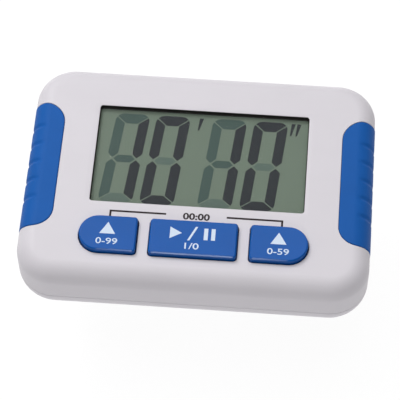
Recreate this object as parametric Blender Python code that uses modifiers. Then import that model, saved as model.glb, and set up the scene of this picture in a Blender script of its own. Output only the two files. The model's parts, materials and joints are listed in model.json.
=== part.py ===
"""Digital laboratory timer: a two-shell case with side grips, a liquid crystal display, three push
buttons, a fold-out stand, a battery bay with a hinged door, and two holding magnets.

The timer lies on its back. +Z points out of the display, +Y to the display's top edge, and the
origin is the middle of the back face. All sizes are in metres.
"""

import math

import bmesh
import bpy
from mathutils import Matrix, Vector

# ---------------------------------------------------------------- driving dimensions
CASE_WIDTH = 0.085
CASE_HEIGHT = 0.061
CASE_DEPTH = 0.0175
CORNER_RADIUS = 0.0095
FACE_FILLET = 0.0046
BACK_FILLET = 0.0069
SIDE_WALL = 0.0022
FACE_WALL = 0.0020
BACK_WALL = 0.0018
SEAM_Z = 0.0072
SEAM_GAP = 0.0003
FIT = 0.00015  # gap between two fixed pieces that lie against each other
OVERLAP = 0.0005  # how far two shapes that are joined reach into each other
THROUGH = 0.0020  # how far a cutter reaches past the wall that it cuts

# Display window, lens and liquid crystal panel
WINDOW_WIDTH = 0.0522
WINDOW_HEIGHT = 0.0275
WINDOW_Y = 0.00465
WINDOW_CORNER = 0.0008
BEZEL_WALL = 0.0012
LENS_TOP = 0.0169
LENS_THICKNESS = 0.0005
GASKET_LOW = 0.0160
GASKET_TOP = 0.0173
GASKET_FLANGE = 0.0002
GASKET_WALL = 0.00025
GASKET_LEDGE = 0.00025  # how far the ledge under the lens stands in from the wall
GASKET_BORDER = 0.0020
GLASS_WIDTH = 0.058
GLASS_LOW_Y = -0.0122
GLASS_HIGH_Y = 0.0209
GLASS_LEDGE = 0.0024  # the front glass reaches this far past the rear glass, for the contacts
GLASS_THICKNESS = 0.0007
FRONT_GLASS_LOW = 0.0149
REAR_GLASS_LOW = 0.0141
POLARIZER_WIDTH = 0.0555
POLARIZER_HEIGHT = 0.0296
POLARIZER_THICKNESS = 0.0002
POLARIZER_LOW = 0.0157
REFLECTOR_LOW = 0.01385
BRACKET_LOW = 0.0123
BRACKET_HIGH = 0.0137
BRACKET_WIDTH = 0.0612
BRACKET_LOW_Y = -0.0126
BRACKET_HIGH_Y = 0.0220
BRACKET_HOLE_WIDTH = 0.0540
BRACKET_HOLE_LOW_Y = -0.0080
BRACKET_HOLE_HIGH_Y = 0.0184
ZEBRA_WIDTH = 0.049
ZEBRA_LOW_Y = -0.0116
ZEBRA_HIGH_Y = -0.0102
ZEBRA_SLOT_GAP = 0.0002

# Push buttons, their rubber domes and contacts
KEY_Y = -0.01858
KEY_HEIGHT = 0.00955
KEY_TOP = 0.0190
KEY_EDGE = 0.0005
KEY_CORNER = 0.0008
KEY_GAP = 0.00025
CENTRE_KEY_HALF_WIDTH = 0.0105
SIDE_KEY_INNER_X = 0.0136
SIDE_KEY_OUTER_X = 0.0275
KEY_CONTACT_X = 0.0206
KEY_FLANGE = 0.0007
KEY_FLANGE_LOW = 0.0142
KEY_FLANGE_HIGH = 0.0152
KEY_STEM_RADIUS = 0.0020
KEY_STEM_LOW = 0.01285
DOME_TOP = 0.0127
DOME_RADIUS = 0.0034
DOME_TOP_RADIUS = 0.0024
DOME_WALL = 0.0007
PILL_RADIUS = 0.0015
PILL_LOW = 0.01145
PILL_HIGH = 0.0119
MAT_WIDTH = 0.060
MAT_LOW_Y = -0.0246
MAT_HIGH_Y = -0.0129
MAT_THICKNESS = 0.0005

# Side grips
GRIP_INNER_X = 0.0345
GRIP_LOW_Y = -0.0170
GRIP_HIGH_Y = 0.0186
GRIP_LOW_CORNER = 0.0050
GRIP_HIGH_CORNER = 0.00585
GRIP_RECESS = 0.0011
GRIP_PROUD = 0.0001
GROOVE_COUNT = 5
GROOVE_PITCH = 0.0051
GROOVE_MIDDLE_Y = 0.00105
GROOVE_RADIUS = 0.0008
GROOVE_DEPTH = 0.0003

# Circuit board and what is soldered to it
BOARD_LOW = 0.0092
BOARD_HIGH = 0.0104
BOARD_HALF_WIDTH = 0.039
BOARD_HIGH_Y = 0.0034
BOARD_STEP_Y = -0.0182
BOARD_STEP_X = 0.0309
BOARD_LOW_Y = -0.0270
BOARD_HOLE_RADIUS = 0.0009
PART_GAP = 0.0001  # between the board and the underside of what is soldered to it
BLOB_PLACE = (0.0130, -0.0040)
BLOB_RADIUS = 0.0048
BLOB_HEIGHT = 0.0014
CRYSTAL_RADIUS = 0.0010
CRYSTAL_ENDS = (-0.0105, -0.0043)
CRYSTAL_Y = 0.0012
CAPACITOR_RADIUS = 0.0020
CAPACITOR_ENDS = (-0.0115, -0.0045)
CAPACITOR_X = 0.0245
COIL_PLACE = (-0.0245, -0.0040)
COIL_RADIUS = 0.0022
COIL_HEIGHT = 0.0030
COIL_FLANGE = 0.0005
RESISTOR_XS = (-0.0175, -0.0145, 0.0215)
RESISTOR_Y = -0.0235
RESISTOR_WIDTH = 0.0012
RESISTOR_LENGTH = 0.0020
RESISTOR_HEIGHT = 0.0005

# Screws and bosses: each place is (x, y)
CASE_SCREW_X = 0.0343
CASE_SCREW_Y = 0.0222
BOARD_SCREW_X = 0.0335
BOARD_SCREW_YS = (-0.0145, 0.0004)
BRACKET_SCREW_X = 0.0322
BRACKET_SCREW_Y = 0.0120
CASE_BOSS_RADIUS = 0.0026
CASE_BOSS_LOW = 0.0059
CASE_PILOT_RADIUS = 0.00105
CASE_PILOT_TOP = 0.0145
BOARD_BOSS_RADIUS = 0.0020
SMALL_PILOT_RADIUS = 0.0008
PILLAR_RADIUS = 0.0029
PILLAR_TOP = 0.0057
HEAD_RECESS_RADIUS = 0.0023
HEAD_RECESS_DEPTH = 0.0022
SHANK_HOLE_RADIUS = 0.00115
CASE_HEAD_RADIUS = 0.0020
CASE_HEAD_HEIGHT = 0.0013
CASE_HEAD_LOW = 0.0008
CASE_SHANK_RADIUS = 0.0009
CASE_SCREW_TIP = 0.0125
SMALL_HEAD_RADIUS = 0.0017
SMALL_HEAD_HEIGHT = 0.0011
SMALL_SHANK_RADIUS = 0.00065
BOARD_SCREW_TIP = 0.0135
BRACKET_SCREW_TIP = 0.0151

# Back cover
TONGUE_GAP = 0.0001
TONGUE_THICKNESS = 0.0012
TONGUE_TOP = 0.0088
PAD_LOW = 0.0010
STAND_AXIS_Y = -0.0022
STAND_AXIS_Z = 0.0015
STAND_HALF_WIDTH = 0.0168
STAND_FOOT_Y = -0.0245
STAND_LOW = 0.0003
STAND_HIGH = 0.0019
STAND_BARREL_RADIUS = 0.0010
STAND_PIN_RADIUS = 0.00075
STAND_PIN_REACH = 0.0182
STAND_CORNER = 0.0030
STAND_RECESS_HALF_WIDTH = 0.0172
STAND_RECESS_LOW_Y = -0.0262
STAND_RECESS_HIGH_Y = -0.0006
STAND_RECESS_DEPTH = 0.0028
STAND_BORE_RADIUS = 0.0009
STAND_PAD_HALF_WIDTH = 0.0200
STAND_PAD_LOW_Y = -0.0271
STAND_PAD_HIGH_Y = 0.0010
STAND_PAD_TOP = 0.0042
MAGNET_X = 0.0295
MAGNET_Y = -0.0110
MAGNET_RADIUS = 0.0050
MAGNET_LOW = 0.0001
MAGNET_THICKNESS = 0.00185
MAGNET_POCKET_DEPTH = 0.0021
MAGNET_PAD_RADIUS = 0.0065
MAGNET_PAD_TOP = 0.0035

# Battery bay and its door
BAY_HALF_LENGTH = 0.0252
BAY_LOW_Y = 0.0055
BAY_HIGH_Y = 0.0165
BAY_TOP = 0.0125
BAY_WALL = 0.0012
BAY_ROOF = 0.0008
DOOR_HALF_WIDTH = 0.0265
DOOR_LOW_Y = 0.0036
DOOR_HIGH_Y = 0.0184
DOOR_LOW = 0.0001
DOOR_HIGH = 0.0014
DOOR_CORNER = 0.0012
DOOR_GAP = 0.0002
DOOR_REBATE = 0.0015
DOOR_PAD_BORDER = 0.0020
DOOR_PAD_TOP = 0.0030
TAB_X = 0.0150
TAB_HALF_WIDTH = 0.0020
TAB_ROOT_Y = 0.0172
TAB_END_Y = 0.0199
TAB_LOW = 0.00165
TAB_HIGH = 0.0024
TAB_SLOT_LOW_Y = 0.0160
TAB_SLOT_HIGH_Y = 0.0204
TAB_SLOT_TOP = 0.0036
NOTCH_RADIUS = 0.0026
NOTCH_DEPTH = 0.0012
FOAM_HALF_LENGTH = 0.0150
FOAM_HALF_WIDTH = 0.0030
CELL_RADIUS = 0.00525
CELL_Y = 0.0110
CELL_Z = 0.0071
CELL_NEGATIVE_X = -0.0202
CELL_SHOULDER_X = 0.0233
CELL_NUB_X = 0.0243
CELL_NUB_RADIUS = 0.0019
CONTACT_X = 0.0245
CONTACT_THICKNESS = 0.0004
CONTACT_LOW = 0.0032
CONTACT_HIGH = 0.0120
LEAD_LOW = 0.0066  # the lead is the contact's strip that leaves the bay through a slot
LEAD_HIGH = 0.0080
LEAD_END_Y = 0.0024
LEAD_GAP = 0.0002
WIRE_RADIUS = 0.00045
WIRE_PAD = (0.0175, 0.0010)  # where a battery wire meets the board, on the +X side
SPRING_WIRE_RADIUS = 0.0003
SPRING_WIDE_RADIUS = 0.0036
SPRING_NARROW_RADIUS = 0.0022
SPRING_TURNS = 4

# Buzzer
BUZZER_Y = -0.0130
BUZZER_RING_OUTER = 0.0106
BUZZER_RING_INNER = 0.0094
BUZZER_RING_TOP = 0.0059
BUZZER_PLATE_RADIUS = 0.0102
BUZZER_PLATE_LOW = 0.0060
BUZZER_PLATE_THICKNESS = 0.00025
CERAMIC_RADIUS = 0.0070
CERAMIC_LOW = 0.0063
CERAMIC_THICKNESS = 0.0002
SOUND_HOLE_RADIUS = 0.0007
SOUND_HOLE_CIRCLE = 0.0040
SOUND_HOLE_COUNT = 6

CORNER_STEPS = 8
FILLET_STEPS = 4
ROUND_SIDES = 20

CASE_SCREWS = [(sx * CASE_SCREW_X, sy * CASE_SCREW_Y) for sx in (-1, 1) for sy in (-1, 1)]
BOARD_SCREWS = [(side * BOARD_SCREW_X, y) for side in (-1, 1) for y in BOARD_SCREW_YS]
BRACKET_SCREWS = [(side * BRACKET_SCREW_X, BRACKET_SCREW_Y) for side in (-1, 1)]
KEYS = {"minute": -1, "start_stop": 0, "second": 1}
FACE_INSIDE = CASE_DEPTH - FACE_WALL


# ---------------------------------------------------------------- scene and materials
def clear_scene():
    for obj in list(bpy.data.objects):
        bpy.data.objects.remove(obj, do_unlink=True)


def new_collection(name):
    collection = bpy.data.collections.new(name)
    bpy.context.scene.collection.children.link(collection)
    return collection


def new_material(name, colour, roughness, metallic=0.0, alpha=1.0):
    material = bpy.data.materials.new(name)
    material.use_nodes = True
    shader = material.node_tree.nodes["Principled BSDF"]
    shader.inputs["Base Color"].default_value = (*colour, 1.0)
    shader.inputs["Roughness"].default_value = roughness
    shader.inputs["Metallic"].default_value = metallic
    shader.inputs["Alpha"].default_value = alpha
    return material


clear_scene()
PARTS = new_collection("lab_timer")
CUTTERS = new_collection("lab_timer_cutters")
MATERIALS = {
    "white_plastic": new_material("white_plastic", (0.76, 0.74, 0.77), 0.45),
    "blue_rubber": new_material("blue_rubber", (0.027, 0.13, 0.44), 0.55),
    "blue_plastic": new_material("blue_plastic", (0.027, 0.14, 0.46), 0.35),
    "clear_plastic": new_material("clear_plastic", (0.95, 0.97, 0.96), 0.05, alpha=0.25),
    "display_film": new_material("display_film", (0.17, 0.22, 0.16), 0.4),
    "display_glass": new_material("display_glass", (0.60, 0.68, 0.60), 0.1),
    "black_rubber": new_material("black_rubber", (0.02, 0.02, 0.02), 0.7),
    "circuit_board": new_material("circuit_board", (0.05, 0.22, 0.08), 0.5),
    "silicone": new_material("silicone", (0.55, 0.56, 0.58), 0.6),
    "carbon": new_material("carbon", (0.02, 0.02, 0.022), 0.8),
    "epoxy": new_material("epoxy", (0.015, 0.015, 0.015), 0.3),
    "steel": new_material("steel", (0.55, 0.55, 0.57), 0.3, metallic=1.0),
    "brass": new_material("brass", (0.75, 0.55, 0.22), 0.3, metallic=1.0),
    "ceramic": new_material("ceramic", (0.75, 0.74, 0.70), 0.5),
    "red_insulation": new_material("red_insulation", (0.55, 0.02, 0.02), 0.45),
    "black_insulation": new_material("black_insulation", (0.02, 0.02, 0.02), 0.45),
    "cell_sleeve": new_material("cell_sleeve", (0.10, 0.25, 0.16), 0.35),
    "foam": new_material("foam", (0.10, 0.10, 0.11), 0.9),
}


# ---------------------------------------------------------------- modelling helpers
def add_object(name, data, material=None):
    """A new object in the parts collection."""
    obj = bpy.data.objects.new(name, data)
    PARTS.objects.link(obj)
    if material:
        data.materials.append(MATERIALS[material])
    return obj


def from_bmesh(name, bm, material):
    mesh = bpy.data.meshes.new(name)
    bm.to_mesh(mesh)
    bm.free()
    mesh.shade_smooth()
    mesh.set_sharp_from_angle(angle=math.radians(35))
    return add_object(name, mesh, material)


def box(name, low, high, material=None):
    """A plain box between two opposite corners."""
    low = Vector(low)
    high = Vector(high)
    bm = bmesh.new()
    bmesh.ops.create_cube(bm, size=1.0)
    bmesh.ops.scale(bm, vec=high - low, verts=bm.verts)
    bmesh.ops.translate(bm, vec=(low + high) / 2, verts=bm.verts)
    return from_bmesh(name, bm, material)


def rounded_box(name, width, height, low, high, corner, material=None, top=0.0, bottom=0.0):
    """A box about the Z axis with rounded upright edges, and a fillet round its top or bottom."""
    bm = bmesh.new()
    bmesh.ops.create_cube(bm, size=1.0)
    bmesh.ops.scale(bm, vec=(width, height, high - low), verts=bm.verts)
    bmesh.ops.translate(bm, vec=(0, 0, (low + high) / 2), verts=bm.verts)
    upright = [e for e in bm.edges if abs(e.verts[0].co.z - e.verts[1].co.z) > (high - low) / 2]
    bmesh.ops.bevel(
        bm, geom=upright, offset=corner, segments=CORNER_STEPS, profile=0.5, affect="EDGES"
    )
    for level, radius in ((high, top), (low, bottom)):
        if radius:
            rim = [e for e in bm.edges if all(abs(v.co.z - level) < 1e-7 for v in e.verts)]
            bmesh.ops.bevel(
                bm, geom=rim, offset=radius, segments=FILLET_STEPS, profile=0.5, affect="EDGES"
            )
    return from_bmesh(name, bm, material)


def cylinder(name, radius, low, high, centre=(0.0, 0.0), material=None, axis="Z", sides=ROUND_SIDES):
    """A cylinder from low to high along an axis. The centre is its place on the other two axes."""
    bm = bmesh.new()
    bmesh.ops.create_cone(
        bm, cap_ends=True, segments=sides, radius1=radius, radius2=radius, depth=high - low
    )
    middle = (low + high) / 2
    if axis == "X":
        bmesh.ops.rotate(bm, matrix=Matrix.Rotation(math.pi / 2, 3, "Y"), verts=bm.verts)
        place = (middle, centre[0], centre[1])
    elif axis == "Y":
        bmesh.ops.rotate(bm, matrix=Matrix.Rotation(math.pi / 2, 3, "X"), verts=bm.verts)
        place = (centre[0], middle, centre[1])
    else:
        place = (centre[0], centre[1], middle)
    bmesh.ops.translate(bm, vec=place, verts=bm.verts)
    return from_bmesh(name, bm, material)


def arc(centre, radius, start, end, steps=CORNER_STEPS):
    """Points on an arc, in the XY plane, between two angles in degrees."""
    angles = [math.radians(start + (end - start) * i / steps) for i in range(steps + 1)]
    return [(centre[0] + radius * math.cos(a), centre[1] + radius * math.sin(a)) for a in angles]


def rounded_rectangle(low_x, high_x, low_y, high_y, corner, steps=3):
    """Outline of a rectangle with round corners, anticlockwise."""
    left, right = low_x + corner, high_x - corner
    lower, upper = low_y + corner, high_y - corner
    return (
        arc((right, upper), corner, 0, 90, steps)
        + arc((left, upper), corner, 90, 180, steps)
        + arc((left, lower), corner, 180, 270, steps)
        + arc((right, lower), corner, 270, 360, steps)
    )


def circle(centre, radius, sides=ROUND_SIDES):
    return arc(centre, radius, 0, 360 - 360 / sides, sides - 1)


def mesh_of_curve(curve_object, material):
    """Turns a curve object into a welded mesh object of the same name and place."""
    bpy.context.view_layer.update()
    graph = bpy.context.evaluated_depsgraph_get()
    mesh = bpy.data.meshes.new_from_object(curve_object.evaluated_get(graph))
    bm = bmesh.new()
    bm.from_mesh(mesh)
    bmesh.ops.remove_doubles(bm, verts=bm.verts, dist=1e-6)
    bm.to_mesh(mesh)
    bm.free()
    name = curve_object.name
    place = curve_object.matrix_world.copy()
    bpy.data.objects.remove(curve_object, do_unlink=True)
    mesh.materials.clear()
    solid = add_object(name, mesh, material)
    solid.matrix_world = place
    return solid


def prism(name, outline, low, high, material=None, holes=()):
    """A flat outline, with any holes, extruded from low to high."""
    curve = bpy.data.curves.new(name, "CURVE")
    curve.dimensions = "2D"
    curve.fill_mode = "BOTH"
    curve.extrude = (high - low) / 2
    for points in (outline, *holes):
        spline = curve.splines.new("POLY")
        spline.points.add(len(points) - 1)
        for point, (x, y) in zip(spline.points, points):
            point.co = (x, y, 0, 1)
        spline.use_cyclic_u = True
    flat = add_object(name, curve)
    flat.location.z = (low + high) / 2
    return mesh_of_curve(flat, material)


def turned(name, profile, material, sides=ROUND_SIDES, centre=(0.0, 0.0)):
    """A solid of revolution about Z. The profile of (radius, z) runs down its outer side."""
    mesh = bpy.data.meshes.new(name)
    points = [(radius, 0.0, z) for radius, z in profile]
    mesh.from_pydata(points, [(i, i + 1) for i in range(len(points) - 1)], [])
    solid = add_object(name, mesh, material)
    solid.location = (centre[0], centre[1], 0.0)
    screw = solid.modifiers.new("turn", "SCREW")
    screw.steps = sides
    screw.render_steps = sides
    screw.use_merge_vertices = True
    screw.merge_threshold = 0.00001
    return solid


def tube(name, points, radius, material):
    """A wire along the points."""
    curve = bpy.data.curves.new(name, "CURVE")
    curve.dimensions = "3D"
    curve.bevel_depth = radius
    curve.bevel_resolution = 2
    curve.use_fill_caps = True
    spline = curve.splines.new("POLY")
    spline.points.add(len(points) - 1)
    for point, place in zip(spline.points, points):
        point.co = (*place, 1)
    return add_object(name, curve, material)


def bend(start, start_pull, end_pull, end, steps=10):
    """Points of a cubic curve from start to end, drawn towards the two pulls."""
    a, b, c, d = (Vector(p) for p in (start, start_pull, end_pull, end))
    points = []
    for i in range(steps + 1):
        t = i / steps
        s = 1 - t
        points.append(s**3 * a + 3 * s * s * t * b + 3 * s * t * t * c + t**3 * d)
    return points


def combine(target, operation, tools):
    """Adds an exact Boolean for each tool, and puts the tool away with the cutters."""
    for tool in tools:
        boolean = target.modifiers.new(tool.name, "BOOLEAN")
        boolean.operation = operation
        boolean.solver = "EXACT"
        boolean.object = tool
        if tool.name in PARTS.objects:
            PARTS.objects.unlink(tool)
            CUTTERS.objects.link(tool)
        tool.hide_render = True
        tool.display_type = "WIRE"


def cut(target, *tools):
    combine(target, "DIFFERENCE", tools)


def join(target, *tools):
    combine(target, "UNION", tools)


def keep(target, *tools):
    combine(target, "INTERSECT", tools)


def joint_empty(name, place, *children):
    """An empty on a joint's axis that carries the pieces which move about it."""
    empty = bpy.data.objects.new(name, None)
    empty.location = place
    empty.empty_display_size = 0.005
    PARTS.objects.link(empty)
    for child in children:
        child.parent = empty
        child.matrix_parent_inverse = Matrix.Translation(-Vector(place))


# ---------------------------------------------------------------- outlines shared by two or more pieces
def case_offset(name, offset, low, high_offset, material=None):
    """The case's outer form, moved outwards by an offset, from low up to its face."""
    return rounded_box(
        name,
        CASE_WIDTH + 2 * offset,
        CASE_HEIGHT + 2 * offset,
        low,
        CASE_DEPTH + high_offset,
        CORNER_RADIUS + offset,
        material,
        top=FACE_FILLET + high_offset,
    )


def window_outline(shrink):
    """The display window's outline, drawn in by a distance."""
    half_width = WINDOW_WIDTH / 2 - shrink
    half_height = WINDOW_HEIGHT / 2 - shrink
    corner = max(WINDOW_CORNER - shrink, 0.0003)
    low_y, high_y = WINDOW_Y - half_height, WINDOW_Y + half_height
    return rounded_rectangle(-half_width, half_width, low_y, high_y, corner)


def key_outline(side, grow):
    """A button's outline grown by a distance: square for the middle one, one end round for the others."""
    half_height = KEY_HEIGHT / 2 + grow
    low_y, high_y = KEY_Y - half_height, KEY_Y + half_height
    corner = KEY_CORNER + max(grow, 0.0)
    if side == 0:
        half_width = CENTRE_KEY_HALF_WIDTH + grow
        return rounded_rectangle(-half_width, half_width, low_y, high_y, corner)
    inner = SIDE_KEY_INNER_X - grow
    end = arc((SIDE_KEY_OUTER_X - KEY_HEIGHT / 2, KEY_Y), half_height, -90, 90, 14)
    outline = (
        end
        + arc((inner + corner, high_y - corner), corner, 90, 180, 3)
        + arc((inner + corner, low_y + corner), corner, 180, 270, 3)
    )
    return [(side * x, y) for x, y in outline]


def grip_outline(side, grow):
    """A grip's outline seen from the front, open past the case's side."""
    inner = GRIP_INNER_X - grow
    outside = CASE_WIDTH / 2 + THROUGH
    low_corner, high_corner = GRIP_LOW_CORNER + grow, GRIP_HIGH_CORNER + grow
    low_y, high_y = GRIP_LOW_Y - grow, GRIP_HIGH_Y + grow
    outline = (
        [(outside, low_y), (outside, high_y)]
        + arc((inner + high_corner, high_y - high_corner), high_corner, 90, 180)
        + arc((inner + low_corner, low_y + low_corner), low_corner, 180, 270)
    )
    return [(side * x, y) for x, y in outline]


# ---------------------------------------------------------------- case
def add_bosses(cover, name, places, radius, low, pilot_radius, pilot_top):
    """Round bosses hanging from the inside of the face, each with a blind pilot hole."""
    for i, place in enumerate(places, 1):
        join(cover, cylinder(f"{name}_boss_{i}", radius, low, FACE_INSIDE + OVERLAP / 2, place))
    for i, place in enumerate(places, 1):
        cut(cover, cylinder(f"{name}_pilot_{i}", pilot_radius, low - THROUGH, pilot_top, place, sides=12))


def make_front_cover():
    cover = case_offset("front_cover", 0.0, SEAM_Z + SEAM_GAP / 2, 0.0, "white_plastic")
    cavity = rounded_box(
        "front_cavity",
        CASE_WIDTH - 2 * SIDE_WALL,
        CASE_HEIGHT - 2 * SIDE_WALL,
        0.0,
        FACE_INSIDE,
        CORNER_RADIUS - SIDE_WALL,
        top=FACE_FILLET - FACE_WALL,
    )
    cut(cover, cavity)
    for name, side in (("left", -1), ("right", 1)):
        recess = prism(f"{name}_grip_recess", grip_outline(side, FIT), 0.0, CASE_DEPTH + THROUGH)
        cut(recess, case_offset(f"{name}_recess_core", -GRIP_RECESS, -THROUGH, -GRIP_RECESS))
        cut(cover, recess)
    add_bosses(
        cover, "case", CASE_SCREWS, CASE_BOSS_RADIUS, CASE_BOSS_LOW, CASE_PILOT_RADIUS, CASE_PILOT_TOP
    )
    board_boss_low = BOARD_HIGH + FIT
    board_pilot_top = FACE_INSIDE - 2 * OVERLAP
    add_bosses(
        cover, "board", BOARD_SCREWS, BOARD_BOSS_RADIUS, board_boss_low, SMALL_PILOT_RADIUS, board_pilot_top
    )
    bracket_boss_low = BRACKET_HIGH + FIT
    add_bosses(
        cover, "bracket", BRACKET_SCREWS, BOARD_BOSS_RADIUS, bracket_boss_low, SMALL_PILOT_RADIUS, FACE_INSIDE
    )
    pocket_gap = 2 * FIT
    panel_pocket = box(
        "panel_pocket",
        (-GLASS_WIDTH / 2 - pocket_gap, GLASS_LOW_Y - pocket_gap, FACE_INSIDE - OVERLAP),
        (GLASS_WIDTH / 2 + pocket_gap, GLASS_HIGH_Y + pocket_gap, CASE_DEPTH - BEZEL_WALL),
    )
    window = prism("window_cutter", window_outline(0.0), FACE_INSIDE - THROUGH, CASE_DEPTH + THROUGH)
    cut(cover, panel_pocket, window)
    for key, side in KEYS.items():
        hole = prism(
            f"{key}_hole", key_outline(side, KEY_GAP), FACE_INSIDE - OVERLAP, CASE_DEPTH + THROUGH
        )
        cut(cover, hole)


def make_grips():
    for name, side in (("left", -1), ("right", 1)):
        grip = case_offset(f"{name}_grip", GRIP_PROUD, SEAM_Z + SEAM_GAP, GRIP_PROUD, "blue_rubber")
        keep(grip, prism(f"{name}_grip_limit", grip_outline(side, 0.0), 0.0, CASE_DEPTH + THROUGH))
        inset = FIT - GRIP_RECESS
        cut(grip, case_offset(f"{name}_grip_core", inset, -THROUGH, inset))
        for i in range(GROOVE_COUNT):
            groove_x = side * (CASE_WIDTH / 2 + GRIP_PROUD + GROOVE_RADIUS - GROOVE_DEPTH)
            groove_y = GROOVE_MIDDLE_Y + (i - (GROOVE_COUNT - 1) / 2) * GROOVE_PITCH
            place = (groove_x, groove_y)
            cut(grip, cylinder(f"{name}_groove_{i}", GROOVE_RADIUS, 0.0, CASE_DEPTH, place, sides=12))


def make_back_cover():
    cover = rounded_box(
        "back_cover",
        CASE_WIDTH,
        CASE_HEIGHT,
        0.0,
        SEAM_Z - SEAM_GAP / 2,
        CORNER_RADIUS,
        "white_plastic",
        bottom=BACK_FILLET,
    )
    tongue_inset = SIDE_WALL + TONGUE_GAP
    inner_inset = tongue_inset + TONGUE_THICKNESS
    tongue = rounded_box(
        "tongue",
        CASE_WIDTH - 2 * tongue_inset,
        CASE_HEIGHT - 2 * tongue_inset,
        SEAM_Z / 2,
        TONGUE_TOP,
        CORNER_RADIUS - tongue_inset,
    )
    cavity = rounded_box(
        "back_cavity",
        CASE_WIDTH - 2 * inner_inset,
        CASE_HEIGHT - 2 * inner_inset,
        BACK_WALL,
        CASE_DEPTH,
        CORNER_RADIUS - inner_inset,
        bottom=BACK_FILLET - THROUGH,
    )
    join(cover, tongue)
    cut(cover, cavity)
    add_screw_pillars(cover)
    add_battery_bay(cover)
    add_stand_recess(cover)
    add_magnet_pockets(cover)


def add_screw_pillars(cover):
    for i, place in enumerate(CASE_SCREWS, 1):
        join(cover, cylinder(f"pillar_{i}", PILLAR_RADIUS, PAD_LOW, PILLAR_TOP, place))
    for i, place in enumerate(CASE_SCREWS, 1):
        cut(
            cover,
            cylinder(f"head_recess_{i}", HEAD_RECESS_RADIUS, -THROUGH, HEAD_RECESS_DEPTH, place),
            cylinder(f"shank_hole_{i}", SHANK_HOLE_RADIUS, 0.0, CASE_DEPTH, place, sides=12),
        )


def add_battery_bay(cover):
    """The walled bay for the cell, the rebate that the door lies in, and the slots for its tabs."""
    border = DOOR_PAD_BORDER
    door_pad = box(
        "door_pad",
        (-DOOR_HALF_WIDTH - border, DOOR_LOW_Y - border, PAD_LOW),
        (DOOR_HALF_WIDTH + border, DOOR_HIGH_Y + border, DOOR_PAD_TOP),
    )
    bay_outside = box(
        "bay_outside",
        (-BAY_HALF_LENGTH - BAY_WALL, BAY_LOW_Y - BAY_WALL, PAD_LOW + OVERLAP),
        (BAY_HALF_LENGTH + BAY_WALL, BAY_HIGH_Y + BAY_WALL, BAY_TOP + BAY_ROOF),
    )
    bay_inside = box(
        "bay_inside", (-BAY_HALF_LENGTH, BAY_LOW_Y, -THROUGH), (BAY_HALF_LENGTH, BAY_HIGH_Y, BAY_TOP)
    )
    door_rebate = box(
        "door_rebate",
        (-DOOR_HALF_WIDTH - DOOR_GAP, DOOR_LOW_Y - DOOR_GAP, -THROUGH),
        (DOOR_HALF_WIDTH + DOOR_GAP, DOOR_HIGH_Y + DOOR_GAP, DOOR_REBATE),
    )
    notch = cylinder("finger_notch", NOTCH_RADIUS, -THROUGH, NOTCH_DEPTH, (0.0, DOOR_LOW_Y))
    join(cover, door_pad, bay_outside)
    cut(cover, bay_inside, door_rebate, notch)
    for i, side in enumerate((-1, 1), 1):
        slot_half_width = TAB_HALF_WIDTH + 2 * DOOR_GAP
        tab_slot = box(
            f"tab_slot_{i}",
            (side * TAB_X - slot_half_width, TAB_SLOT_LOW_Y, DOOR_REBATE - FIT / 3),
            (side * TAB_X + slot_half_width, TAB_SLOT_HIGH_Y, TAB_SLOT_TOP),
        )
        lead_middle = side * (CONTACT_X + CONTACT_THICKNESS / 2)
        lead_slot = box(
            f"lead_slot_{i}",
            (lead_middle - CONTACT_THICKNESS, BAY_LOW_Y - BAY_WALL - OVERLAP, LEAD_LOW - LEAD_GAP),
            (lead_middle + CONTACT_THICKNESS, BAY_LOW_Y + OVERLAP, LEAD_HIGH + LEAD_GAP),
        )
        cut(cover, tab_slot, lead_slot)


def add_stand_recess(cover):
    """The recess that the stand folds into, its two hinge bores, and the buzzer's seat above it."""
    stand_pad = box(
        "stand_pad",
        (-STAND_PAD_HALF_WIDTH, STAND_PAD_LOW_Y, PAD_LOW),
        (STAND_PAD_HALF_WIDTH, STAND_PAD_HIGH_Y, STAND_PAD_TOP),
    )
    centre = (0.0, BUZZER_Y)
    seat = prism(
        "buzzer_seat",
        circle(centre, BUZZER_RING_OUTER, 32),
        STAND_PAD_TOP - OVERLAP / 2,
        BUZZER_RING_TOP,
        holes=[circle(centre, BUZZER_RING_INNER, 32)],
    )
    recess = prism(
        "stand_recess",
        rounded_rectangle(
            -STAND_RECESS_HALF_WIDTH,
            STAND_RECESS_HALF_WIDTH,
            STAND_RECESS_LOW_Y,
            STAND_RECESS_HIGH_Y,
            WINDOW_CORNER,
        ),
        -THROUGH,
        STAND_RECESS_DEPTH,
    )
    join(cover, stand_pad, seat)
    cut(cover, recess)
    axis_place = (STAND_AXIS_Y, STAND_AXIS_Z)
    for i, side in enumerate((-1, 1), 1):
        ends = sorted((side * (STAND_RECESS_HALF_WIDTH - OVERLAP), side * (STAND_PIN_REACH + 2 * DOOR_GAP)))
        cut(cover, cylinder(f"hinge_bore_{i}", STAND_BORE_RADIUS, *ends, axis_place, axis="X", sides=16))
    places = [centre] + circle(centre, SOUND_HOLE_CIRCLE, SOUND_HOLE_COUNT)
    for i, place in enumerate(places):
        cut(cover, cylinder(f"sound_hole_{i}", SOUND_HOLE_RADIUS, 0.0, BUZZER_RING_TOP, place, sides=10))


def add_magnet_pockets(cover):
    for i, side in enumerate((-1, 1), 1):
        place = (side * MAGNET_X, MAGNET_Y)
        join(cover, cylinder(f"magnet_pad_{i}", MAGNET_PAD_RADIUS, PAD_LOW, MAGNET_PAD_TOP, place))
        pocket_radius = MAGNET_RADIUS + FIT
        cut(cover, cylinder(f"magnet_pocket_{i}", pocket_radius, -THROUGH, MAGNET_POCKET_DEPTH, place))


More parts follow.
